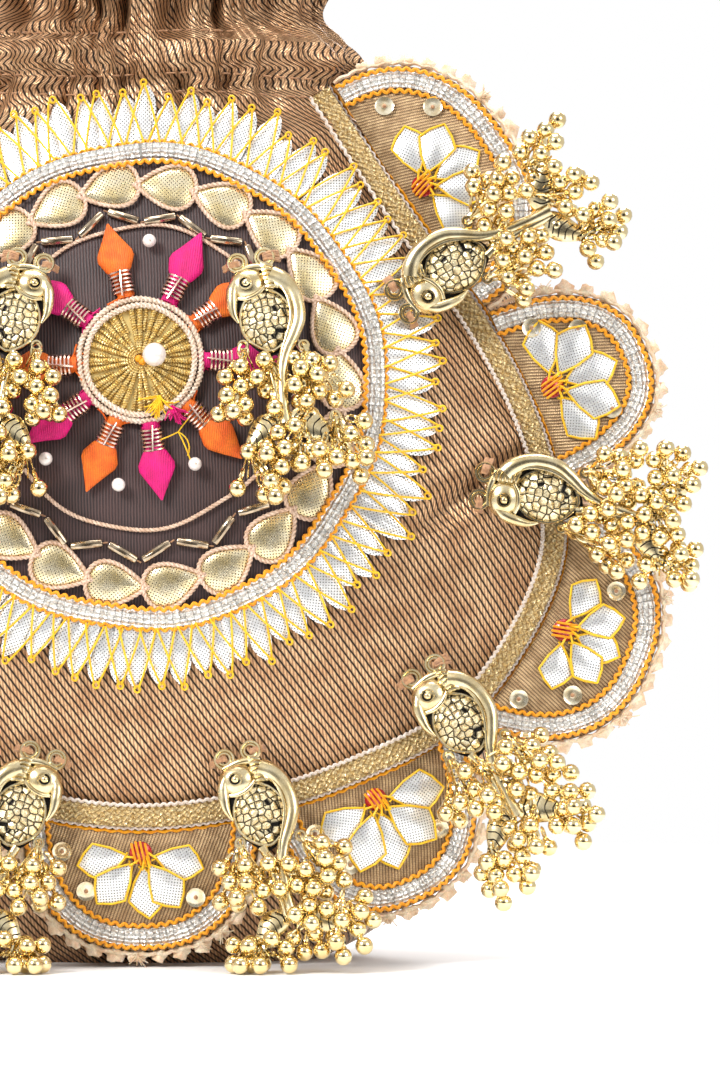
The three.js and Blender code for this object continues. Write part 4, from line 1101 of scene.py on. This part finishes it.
def makeFlap(name, start, end, depth, seed):
    plate = flapPlate(start, end, depth)
    rng = np.random.default_rng(seed)
    facing, along, outward = plate["facing"], plate["along"], plate["outward"]
    parts = []
    # Padded cloth body: rings between the seam edge and the rim, swelling a little in the middle.
    s, n = rimOf(plate, -0.2, 72, 0.16)
    seamS, seamN = plate["seam"]
    order = np.argsort(seamS)
    edgeS = np.clip(np.linspace(-plate["half"], plate["half"], 42), seamS.min(), seamS.max())
    edgeN = np.interp(edgeS, seamS[order], seamN[order])
    outline = onPlate(plate, np.concatenate([s, edgeS]), np.concatenate([n, edgeN]), -0.4)
    parts.append(pillow(outline, 1.1, 1.2, "tissueCloth", facing, rings=7, power=0.6, uvAxes=(along, outward)))
    # Ribbon between two wavy picot threads, inside the rim.
    s, n = evenRim(plate, 3.6, 0.7)[:2]
    crinkle = 0.16 * np.sin(np.arange(len(s)) * 2.1) + 0.1 * rng.normal(0, 1, len(s))
    band = ribbonSection(2.1, 0.3, 0.4, 0.4)
    parts.append(sweep(onPlate(plate, s, n, 0.75 + crinkle), band, "silverRibbon", facing))
    for inset in (0.9, 6.4):
        steps = evenRim(plate, inset, 0.42)
        wave = 0.42 * np.sin(np.arange(len(steps[0])) * 2 * pi * 0.42 / 2.3)
        parts.append(rimThread(plate, steps, wave, 0.85, 0.45, "orangeThread", 4))
    # Lace edge: a low scalloped cord and ruffled shells that stand out from the rim.
    steps = evenRim(plate, -0.6, 0.7)
    wave = 0.5 * np.abs(np.sin(np.arange(len(steps[0])) * pi * 0.7 / 4.0))
    parts.append(rimThread(plate, steps, wave, 0.1, 0.55, "creamLace", 5))
    s, n, outS, outN = evenRim(plate, -0.3, 5.4, 0.2)
    count = len(s)
    fan = roundTurn(14)
    width = rng.uniform(2.0, 2.9, count)[:, None]
    proud = rng.uniform(1.7, 2.7, count)[:, None]
    ruffle = 1 + 0.16 * np.cos(5 * fan + rng.uniform(0, 6, count)[:, None])
    tangent = width * np.cos(fan) * ruffle
    radial = 0.9 + proud * np.sin(fan) * ruffle * np.where(np.sin(fan) > 0, 1, 0.55)
    shellS = s[:, None] + outN[:, None] * tangent + outS[:, None] * radial
    shellN = n[:, None] - outS[:, None] * tangent + outN[:, None] * radial
    curl = -0.3 + 0.7 * np.sin(2 * fan + rng.uniform(0, 6, count)[:, None])
    parts.append(pillow(onPlate(plate, shellS, shellN, curl), 0.8, 0.6, "creamLace", facing, rings=4))
    # Frayed fibres here and there along the lace.
    pick = rng.choice(count, max(3, count // 4), replace=False)
    fibres = 7
    baseS, baseN = np.repeat(s[pick], fibres), np.repeat(n[pick], fibres)
    dirS, dirN = np.repeat(outS[pick], fibres), np.repeat(outN[pick], fibres)
    share = np.linspace(0, 1, 6)
    swing = rng.normal(0, 0.8, len(baseS))[:, None] * share ** 1.4 * 2.2
    reach = 0.5 + rng.uniform(1.6, 3.4, len(baseS))[:, None] * share
    fibreS = baseS[:, None] + dirS[:, None] * reach + dirN[:, None] * swing
    fibreN = baseN[:, None] + dirN[:, None] * reach - dirS[:, None] * swing
    fibreLines = onPlate(plate, fibreS, fibreN, 0.4 + 0.8 * np.sin(4 * share))
    parts.append(tube(fibreLines, 0.14, "creamLace", 4, facing))
    # Half flower: five kites about a bead near the seam, each edged with couched thread.
    reachOut = depth - 9.5
    heart = (0.0, float(np.interp(0, seamS[order], seamN[order])) + 5.2)
    size = min((reachOut - heart[1]) / 17.5, 1.0)
    kiteAngles = np.radians([14, 52, 90, 128, 166]) + rng.normal(0, 0.05, 5)
    kiteT = np.array([0, 0.3, 0.62, 0.82, 1, 0.82, 0.62, 0.3])
    kiteW = np.array([0, 3.0, 5.0, 3.0, 0.15, -3.0, -5.0, -3.0])
    length = 15.2 * size * np.array([0.95, 1.0, 1.0, 1.0, 0.95])
    first = 3.4
    dirK = np.stack([np.cos(kiteAngles), np.sin(kiteAngles)], -1)
    sideK = np.stack([-dirK[:, 1], dirK[:, 0]], -1)

    def kiteLine(t, w, lift):
        radial = first + length[:, None] * t
        flat = np.array(heart) + dirK[:, None] * radial[..., None] + sideK[:, None] * (w * size)[..., None]
        return onPlate(plate, flat[..., 0], flat[..., 1], lift)

    kiteAxis = along * dirK[:, :1] + outward * dirK[:, 1:]
    kiteSide = along * sideK[:, :1] + outward * sideK[:, 1:]
    layer = 0.95 + 0.55 * (np.arange(5) % 2)[:, None]
    kites = kiteLine(kiteT, kiteW, layer)
    parts.append(pillow(kites, 0.8, 0.5, "silverGota", facing, rings=3, power=0.8, uvAxes=(kiteAxis, kiteSide)))
    ringT = np.interp(np.linspace(0, 8, 32, endpoint=False), np.arange(9), np.append(kiteT, 0))
    ringW = np.interp(np.linspace(0, 8, 32, endpoint=False), np.arange(9), np.append(kiteW, 0)) * 1.08
    parts.append(tube(kiteLine(ringT, ringW, layer + 0.35), 0.28, "yellowThread", 4, facing, closed=True))
    loop = kiteLine(np.array([-0.16, 0.06, -0.02]), np.array([-0.9, 0.2, 1.1]), np.array([2.2, 2.7, 2.3]))
    parts.append(tube(loop, 0.3, "yellowThread", 4, facing))
    # Bead with stitches over it.
    bead = onPlate(plate, heart[0] + 2.9 * np.cos(fan), heart[1] + 2.9 * np.sin(fan), 1.2)
    parts.append(pillow(bead, 1.3, 0.8, "redBead", facing, rings=4))
    share = np.linspace(-1, 1, 7)
    lines = np.linspace(-1.7, 1.7, 4)[:, None]
    reach = np.sqrt(np.maximum(3.1 ** 2 - lines ** 2, 0.5)) * share
    lift = 1.3 + 1.55 * np.sqrt(np.maximum(1 - (reach / 3.3) ** 2 - (lines / 3.6) ** 2, 0))
    parts.append(tube(onPlate(plate, heart[0] + lines + 0.25 * reach, heart[1] + reach, lift), 0.3,
                      "orangeThread", 4, facing))
    # Sequins with a hole, sewn between the kites.
    spots = [(0.46 * plate["half"] * way, 0.6 * depth + rng.normal(0, 0.8)) for way in (-1, 1)]
    spots.append((0.66 * plate["half"] * rng.choice([-1, 1]), 0.22 * depth + 3))
    circle = roundTurn(20)
    for x, y in spots:
        rings = [onPlate(plate, x + r * np.cos(circle), y + r * np.sin(circle), h)
                 for r, h in ((0.55, 1.2), (1.5, 1.05), (2.4, 1.35), (2.45, 1.55), (1.5, 1.25), (0.55, 1.4))]
        parts.append(skin(np.stack(rings), "sequinClear", closed=True))
        parts.append(balls(onPlate(plate, np.array([x]), np.array([y]), 1.45), 0.6, "tanThread", 8, 5))
    label = f"flap_{name}"
    piece = makePiece(f"{label}_sewn", parts, "bag", [label], sharp=45)


print("flaps")
makeFlap("bottom", *flaps["bottom"], 31)
for number, (name, start, end, depth) in enumerate(flaps["right"]):
    makeFlap(f"{name}_right", start, end, depth, 40 + number)
    makeFlap(f"{name}_left", -end, -start, depth, 50 + number)

# Charms: loop middle, turn from straight down, distance of the loops from the cloth, depth of the tail.
charms = {
    "panel": {"x": 27.6, "z": 177.5, "turn": 12, "standoff": 8.6, "tailY": -62, "drop": 1.0},
    "bottom": {"x": 24.3, "z": 53.6, "turn": 19, "standoff": 3.2, "tailY": -63, "drop": 0.86},
    "lower": {"x": 70.9, "z": 74.4, "turn": 33, "standoff": 3.5, "tailY": -55, "drop": 0.95},
    "side": {"x": 85.75, "z": 121.1, "turn": 78, "standoff": 3, "tailY": -44, "drop": 0.78},
    "upper": {"x": 65.5, "z": 167.5, "turn": 121.6, "standoff": 6, "tailY": -38.5, "drop": 0.9},
}
charmLength = 50
swinging = ("panel", "bottom", "lower")


# Turn and place of one charm: lean about X first, then the turn about Y, then the move to its loops.
def charmPlace(charm, side):
    turn = math.radians(charm["turn"]) * side
    loopY = float(frontY(charm["x"], charm["z"])) - charm["standoff"]
    lean = math.asin((loopY - middleY - charm["tailY"]) / charmLength)
    cx, sx, cy, sy = math.cos(-lean), math.sin(-lean), math.cos(-turn), math.sin(-turn)
    tilt = np.array([[1, 0, 0], [0, cx, -sx], [0, sx, cx]])
    swing = np.array([[cy, 0, sy], [0, 1, 0], [-sy, 0, cy]])
    matrix = swing @ tilt @ np.diag([side, 1, 1])
    return matrix, np.array([side * charm["x"], loopY, charm["z"]])


def placed(part, matrix, origin):
    moved = dict(part)
    moved["points"] = part["points"] @ matrix.T + origin
    if np.linalg.det(matrix) < 0:
        for key in ("quads", "tris", "quadUv", "triUv"):
            moved[key] = part[key][:, ::-1]
    return moved


# Point of the casting: u to the right and v down from the loops, h towards the viewer.
def onCharm(u, v, h=0.0):
    u, v, h = np.broadcast_arrays(np.asarray(u, float), np.asarray(v, float), np.asarray(h, float))
    return np.stack([u, -h, -v], -1)


def ribbonTube(uvh, widths, finish="castGold", sides=10, count=28, flat=0.62):
    path = spline(onCharm(*np.array(uvh, float).T), count)
    size = np.interp(np.linspace(0, 1, count), np.linspace(0, 1, len(widths)), widths)
    return tube(path, size, finish, sides, flat=flat)


# Cast bird: swept back and stem, domed breast with scales, ringed eye, hooked beak, collar ribs,
# leaf tail and wire eyes, all in the casting's own plane.
def charmParts():
    circle = roundTurn(28)
    parts = []
    loops = onCharm([-3.45, 3.45], [0, 0], 0.3)
    across, down = np.array([[1.0, 0, 0]]), np.array([[0, 0, 1.0]])
    parts.append(wireLoops(loops, across, down, 2.3, 2.3, 0.45, "castGold", 6, 22))
    parts.append(wireLoops(loops + [0, -0.2, 0], across, down, 1.5, 1.5, 0.38, "castGold", 6, 18))
    parts.append(ribbonTube([(-4.6, 2.4, 0.3), (0, 1.9, 0.3), (4.6, 2.9, 0.4)], [0.7, 1.0, 0.8], count=10))
    plate = [(-4.4, 2.6), (-5.9, 5.2), (-6.2, 8.5), (-6.3, 14), (-5.6, 19.5), (-3, 23.6), (-0.6, 25.8),
             (2.6, 25), (6.2, 21.5), (8.6, 17), (9.2, 12), (7.6, 7), (4.6, 3), (1.5, 2.2), (-1.5, 2.0)]
    outline = spline(onCharm(*np.array([*plate, plate[0]], float).T), 61)[:-1]
    parts.append(pillow(outline, 0.35, 1.2, "castRecess", rings=3))
    # Head dome, eye rings and the forehead running into the collar.
    head = onCharm(-2.0 + 4.7 * np.cos(circle), 6.0 + 4.1 * np.sin(circle), 0.2)
    parts.append(pillow(head, 2.3, 1.5, "castGold", rings=7, power=0.55))
    parts.append(wireLoops(onCharm([-2.4], [6.2], 2.6), across, down, 1.6, 1.6, 0.26, "castGold", 6, 18))
    parts.append(pillow(onCharm(-2.4 + 1.4 * np.cos(circle), 6.2 + 1.4 * np.sin(circle), 2.4), 0.1, 0.3,
                        "castRecess", rings=3))
    parts.append(balls(onCharm([-2.4], [6.2], 2.45), 1.0, "castGold", 12, 7, 0.7))
    parts.append(wireLoops(onCharm([-2.4], [6.2], 2.95), across, down, 0.5, 0.5, 0.1, "castRecess", 4, 12))
    beak = [(-4.4, 4.6, 1.0), (-6.0, 7.0, 1.0), (-6.7, 10, 1.0), (-6.9, 13, 0.9), (-6.2, 15.8, 0.9)]
    parts.append(ribbonTube(beak, [1.0, 1.5, 1.4, 0.95, 0.2], flat=0.8))
    jaw = [(-5.0, 9.4, 0.9), (-2.6, 9.9, 1.3), (0.2, 9.2, 1.4), (2.2, 7.8, 1.4)]
    parts.append(ribbonTube(jaw, [0.5, 0.62, 0.62, 0.4], count=16))
    # Collar: short ribs side by side across the neck.
    ribAt = np.linspace(0, 1, 6)
    ribs = np.stack([onCharm(2.2 + 0.3 * ribAt, 2.6 + 5.6 * ribAt, 2.0),
                     onCharm(3.6 + 0.4 * ribAt, 2.5 + 5.8 * ribAt, 2.4),
                     onCharm(5.0 + 0.4 * ribAt, 3.2 + 5.6 * ribAt, 1.9)], 1)
    parts.append(tube(ribs, 0.45, "castGold", 6))
    collar = onCharm(3.7 + 2.1 * np.cos(circle), 5.4 + 3.3 * np.sin(circle), 0.4)
    parts.append(pillow(collar, 1.5, 1.2, "castGold", rings=4, power=0.6))
    # Breast: a drop-shaped dome with scales, and the rim that frames it.
    drop = roundTurn(36)
    half = np.where(np.sin(drop) > 0, 1 - 0.35 * np.sin(drop) ** 3, 1)
    breast = onCharm(0.8 + 6.3 * np.cos(drop) * half, 16.5 + 7.8 * np.sin(drop), 0.4)
    parts.append(pillow(breast, 2.5, 1.0, "castScales", rings=8, power=0.55))
    rim = onCharm(0.8 + 6.5 * np.cos(drop) * half, 16.5 + 8.1 * np.sin(drop), 0.75)
    parts.append(tube(rim, 0.4, "castGold", 6, closed=True))
    # Back and wing: one smooth bar from the collar round to the stem, with a grooved second bar inside it.
    back = [(4.4, 5.2, 1.2), (6.4, 6.8, 1.4), (8.3, 9.8, 1.4), (9.1, 13.6, 1.4), (8.7, 17.8, 1.4),
            (6.7, 21.6, 1.3), (4.2, 25.2, 1.2), (2.4, 29, 1.1), (1.3, 34, 1.0), (0.6, 39, 1.0), (0.2, 44, 0.9)]
    widths = [2.5, 2.3, 2.0, 1.9, 1.8, 1.7, 1.6, 1.5, 1.4, 1.3, 1.7]
    parts.append(ribbonTube(back, widths, sides=14, count=60, flat=0.75))
    groove = [(6.0, 8.2, 2.4), (7.3, 12.6, 2.6), (7.0, 17.4, 2.6), (5.2, 21.6, 2.4), (3.2, 25.4, 2.2),
              (1.6, 30.5, 1.9)]
    parts.append(ribbonTube(groove, [0.2, 0.42, 0.42, 0.4, 0.36, 0.2], sides=8, count=34))
    inner = [(-1.4, 24.4, 0.7), (-0.7, 28, 0.8), (-0.6, 33, 0.8), (-0.8, 38, 0.8), (-1.0, 43, 0.8)]
    parts.append(ribbonTube(inner, [1.2, 1.1, 1.0, 1.0, 1.2], count=26))
    # Tail: two leaf lobes with engraved veins, spreading from the fork.
    for way in (-1, 1):
        t = np.linspace(0, 1, 15)
        heading = math.radians(32 if way < 0 else 38)
        length, half = (13.5, 3.0) if way < 0 else (15.0, 3.3)
        du, dv = way * math.cos(heading), math.sin(heading)
        width = half * np.sin(pi * np.clip(t, 0.02, 0.98) ** 0.8) ** 0.8
        bendUp = 1.6 * np.sin(pi * t)
        runU, runV, wideU = du * length * t, dv * length * t, dv * way * width
        edgeU = np.concatenate([runU - wideU, (runU + wideU)[-2:0:-1]])
        edgeV = np.concatenate([runV + width - bendUp, (runV - width - bendUp)[-2:0:-1]])
        parts.append(pillow(onCharm(0.2 + edgeU, 42.2 + edgeV, 0.2), 1.2, 1.0, "castGold", rings=5, power=0.6))
        veins = np.linspace(0.18, 0.82, 6)[:, None]
        share = np.linspace(-0.72, 0.72, 6)
        veinHalf = half * np.sin(pi * veins ** 0.8) ** 0.8 * share
        lean = veins + 0.10 * np.abs(share)
        vu = 0.2 + du * length * lean - dv * way * veinHalf
        vv = 42.2 + dv * length * lean + veinHalf - 1.6 * np.sin(pi * lean)
        parts.append(tube(onCharm(vu, vv, 1.36 - 0.35 * share ** 2), 0.15, "castRecess", 4))
    eyes = onCharm([-6.2, 8.6, -9.4, 5.2, 12.6], [21.6, 24.8, 47.6, 43.2, 44.6], 0.6)
    parts.append(wireLoops(eyes, across, down, 1.15, 1.15, 0.42, "castGold", 6, 14))
    return parts


bunches = [((-6.2, 21.6), (-8.2, 34.0), 12), ((8.6, 24.8), (10.8, 37.0), 12), ((-9.4, 47.6), (-9.6, 56.5), 12),
           ((5.2, 43.2), (1.6, 51.0), 9), ((12.6, 44.6), (12.8, 54.0), 11), ((-0.7, 27.5), (0.8, 33.5), 7)]
bell = {"radius": 2.26, "wire": 0.3, "spread": (7.0, 3.6, 7.4), "above": 2.4, "between": 0.12,
        "stemClear": 3.5, "settling": 90}


# Bells of one charm: balls started at random in each bunch's oval and pushed apart until no two overlap,
# each with a collar and a wire loop towards its bunch's eye.
def bellParts(drop, seed, matrix, origin):
    rng = np.random.default_rng(seed)
    squeeze = lambda v: 26 + (np.asarray(v, float) - 26) * drop
    centres, anchors = [], []
    for (eyeU, eyeV), (u, v), count in bunches:
        middle = onCharm(u, squeeze(v), 1.2)
        centres.append(middle + rng.uniform(-0.85, 0.85, (count, 3)) * bell["spread"])
        anchors.append(np.repeat(onCharm(eyeU, eyeV, 0.6)[None], count, 0))
    centres, anchors = np.concatenate(centres), np.concatenate(anchors)
    home = centres.copy()
    stem = np.stack([np.interp(np.linspace(24, 46, 12), [24, 30, 46], [3.2, 1.6, 0.2]), np.full(12, -0.9),
                     -np.linspace(24, 46, 12)], -1)
    for _ in range(bell["settling"]):
        gap = centres[:, None] - centres[None]
        distance = np.linalg.norm(gap, axis=-1) + np.eye(len(centres)) * 99
        shove = np.clip(2 * bell["radius"] + bell["between"] - distance, 0, None)[..., None] / 2
        centres = centres + (gap / distance[..., None] * shove).sum(1) * 0.6 + (home - centres) * 0.015
        away = centres[:, None] - stem[None]
        near = np.linalg.norm(away, axis=-1)
        shove = np.clip(bell["stemClear"] - near, 0, None)[..., None]
        centres += (away / near[..., None] * shove).sum(1) * 0.25
        centres[:, 1] = np.clip(centres[:, 1], -6.6, 0.9)
        low = np.clip(bell["above"] - centres @ matrix[2] - origin[2], 0, None)
        centres += low[:, None] * matrix[2]
    toEye = unit(anchors - centres)
    sideways = unit(np.cross(toEye, rng.normal(0, 1, toEye.shape)))
    third = np.cross(toEye, sideways)
    parts = [balls(centres, bell["radius"], "bellGold", 14, 8)]
    parts.append(wireLoops(centres + toEye * bell["radius"], sideways, third, 0.7, 0.7, 0.32, "bellGold", 4, 8))
    parts.append(wireLoops(centres + toEye * (bell["radius"] + 1.5), toEye, sideways, 1.7, 0.85, bell["wire"],
                           "bellGold", 4, 10))
    for (eyeU, eyeV), (u, v), count in bunches:
        eye, middle = onCharm(eyeU, eyeV, 0.9), onCharm(u, squeeze(v), 1.6)
        share = np.array([0.12, 0.34, 0.56])[:, None]
        chain = eye + (middle - eye) * share
        heading = np.repeat(unit(middle - eye)[None], 3, 0)
        other = unit(np.cross(heading, rng.normal(0, 1, (3, 3))))
        parts.append(wireLoops(chain, heading, other, 1.9, 1.25, 0.36, "bellGold", 5, 14))
        strands = rng.normal(0, 1, (6, 3)) * [2.2, 0.9, 1.4]
        bend = eye + (middle + strands - eye)[:, None] * np.linspace(0.1, 0.85, 6)[:, None]
        bend[..., 1] -= 0.9 * np.sin(np.linspace(0, pi, 6))
        parts.append(tube(bend, 0.22, "bellGold", 4))
    return parts


# Thread through each loop of a charm: a few round strands that leave the hole outwards.
def stitchParts(matrix, origin, seed):
    rng = np.random.default_rng(seed)
    parts = []
    for way in (-1, 1):
        share = np.linspace(0, 1, 8)
        count = 8
        spreadV = rng.normal(0, 0.35, count)[:, None] + rng.normal(0, 0.5, count)[:, None] * share
        u = way * (3.2 + 3.9 * share) + 0 * spreadV
        h = 0.2 + 1.1 * np.sin(pi * share) - 1.6 * share
        parts.append(placed(tube(onCharm(u, spreadV, h), 0.45, "tanThread", 5), matrix, origin))
    return parts


print("charms and bells")
casting = charmParts()
threads = []
for number, (name, charm) in enumerate(charms.items()):
    strung = bellParts(charm["drop"], 70 + number, *charmPlace(charm, 1))
    for side, label in ((1, "right"), (-1, "left")):
        matrix, origin = charmPlace(charm, side)
        owner = f"{name}_{label}"
        charmBody = f"charm_{owner}" if name in swinging else "bag"
        bellBody = f"bells_{owner}" if name in swinging else "bag"
        makePiece(f"cast_bird_{owner}", [placed(part, matrix, origin) for part in casting], charmBody,
                  [f"charm_{owner}"], sharp=40)
        makePiece(f"bell_bunches_{owner}", [placed(part, matrix, origin) for part in strung], bellBody,
                  [f"bells_{owner}"], sharp=60)
        threads += stitchParts(matrix, origin, 90 + number)
makePiece("charm_loop_stitches", threads, "bag")
print("triangles in all:", triangleCount["all"])

# Camera in front of the bag and level with the middle of the view, on the bag's right half.
view = {"x": 0.055, "z": 0.1075, "distance": 1.5, "plane": -0.045, "height": 0.27}
cameraData = bpy.data.cameras.new("frontCamera")
cameraData.lens = cameraData.sensor_width * view["distance"] / view["height"]
camera = bpy.data.objects.new("frontCamera", cameraData)
camera.location = (view["x"], view["plane"] - view["distance"], view["z"])
camera.rotation_euler = (pi / 2, 0, 0)
bpy.context.scene.collection.objects.link(camera)
bpy.context.scene.camera = camera

# Pale floor and soft light: energy in watts, size in metres, aimed at the bag.
lights = {"keyLeft": ((-0.9, -1.1, 1.1), 27, 0.6), "fillRight": ((1.1, -1.0, 0.7), 8, 0.9),
          "top": ((0.0, 0.1, 1.4), 14, 1.0), "behind": ((0.3, 1.2, 0.9), 9, 0.8)}


def makeStage():
    size = 6.0  # half width of the floor in metres
    mesh = bpy.data.meshes.new("floor")
    corners = np.array([[-size, -size, 0], [size, -size, 0], [size, size, 0], [-size, size, 0]], float)
    mesh.from_pydata(corners.tolist(), [], [(0, 1, 2, 3)])
    floor = bpy.data.objects.new("floor", mesh)
    bpy.context.scene.collection.objects.link(floor)
    makeFinish("paleFloor", (0.985, 0.985, 0.985), (0.975, 0.975, 0.975), roughness=0.5, coarse=0.002,
               fine=0.02, grain=0.0, bump=0.02)
    mesh.materials.append(finishes["paleFloor"])
    # The floor fades out away from the bag, so that the pale surroundings run on without an edge.
    tree = finishes["paleFloor"].node_tree
    place = addNode(tree, "TexCoord").outputs["Object"]
    away = addNode(tree, "VectorMath", links={0: place}, operation="LENGTH")
    fade = addNode(tree, "MapRange", {"From Min": 0.25, "From Max": 0.6, "To Min": 1.0, "To Max": 0.0},
                   {0: away.outputs["Value"]})
    tree.links.new(fade.outputs[0], tree.nodes["Principled BSDF"].inputs["Alpha"])
    for name, (place, energy, width) in lights.items():
        data = bpy.data.lights.new(name, "AREA")
        data.shape = "DISK"
        data.size = width
        data.energy = energy
        lamp = bpy.data.objects.new(name, data)
        lamp.location = place
        heading = np.array([0, 0, 0.12]) - place
        flat = math.hypot(heading[0], heading[1])
        lamp.rotation_euler = (math.atan2(flat, -heading[2]), 0, math.atan2(heading[1], heading[0]) - pi / 2)
        bpy.context.scene.collection.objects.link(lamp)


# Surroundings: pale all round, darker in front of the bag, as the dark end of a studio is.
def makeSurroundings():
    world = bpy.data.worlds.new("studio")
    bpy.context.scene.world = world
    world.use_nodes = True
    tree = world.node_tree
    tree.nodes.clear()
    output = tree.nodes.new("ShaderNodeOutputWorld")
    place = addNode(tree, "TexCoord").outputs["Generated"]
    xyz = addNode(tree, "SeparateXYZ", links={0: place}).outputs
    frontShare = addNode(tree, "MapRange", {"From Min": -0.86, "From Max": -0.97, "To Min": 0.0, "To Max": 1.0},
                         {0: xyz[1]}).outputs[0]
    shade = mixColour(tree, frontShare, (0.76, 0.76, 0.77, 1), (0.05, 0.05, 0.055, 1))
    seen = addNode(tree, "LightPath").outputs["Is Camera Ray"]
    shown = mixColour(tree, seen, shade, (1, 1, 1, 1))
    back = addNode(tree, "Background", {"Strength": 1.0}, {"Color": shown})
    tree.links.new(back.outputs[0], output.inputs[0])
    bpy.context.scene.view_settings.view_transform = "Standard"


print("stage and light")
makeStage()
makeSurroundings()
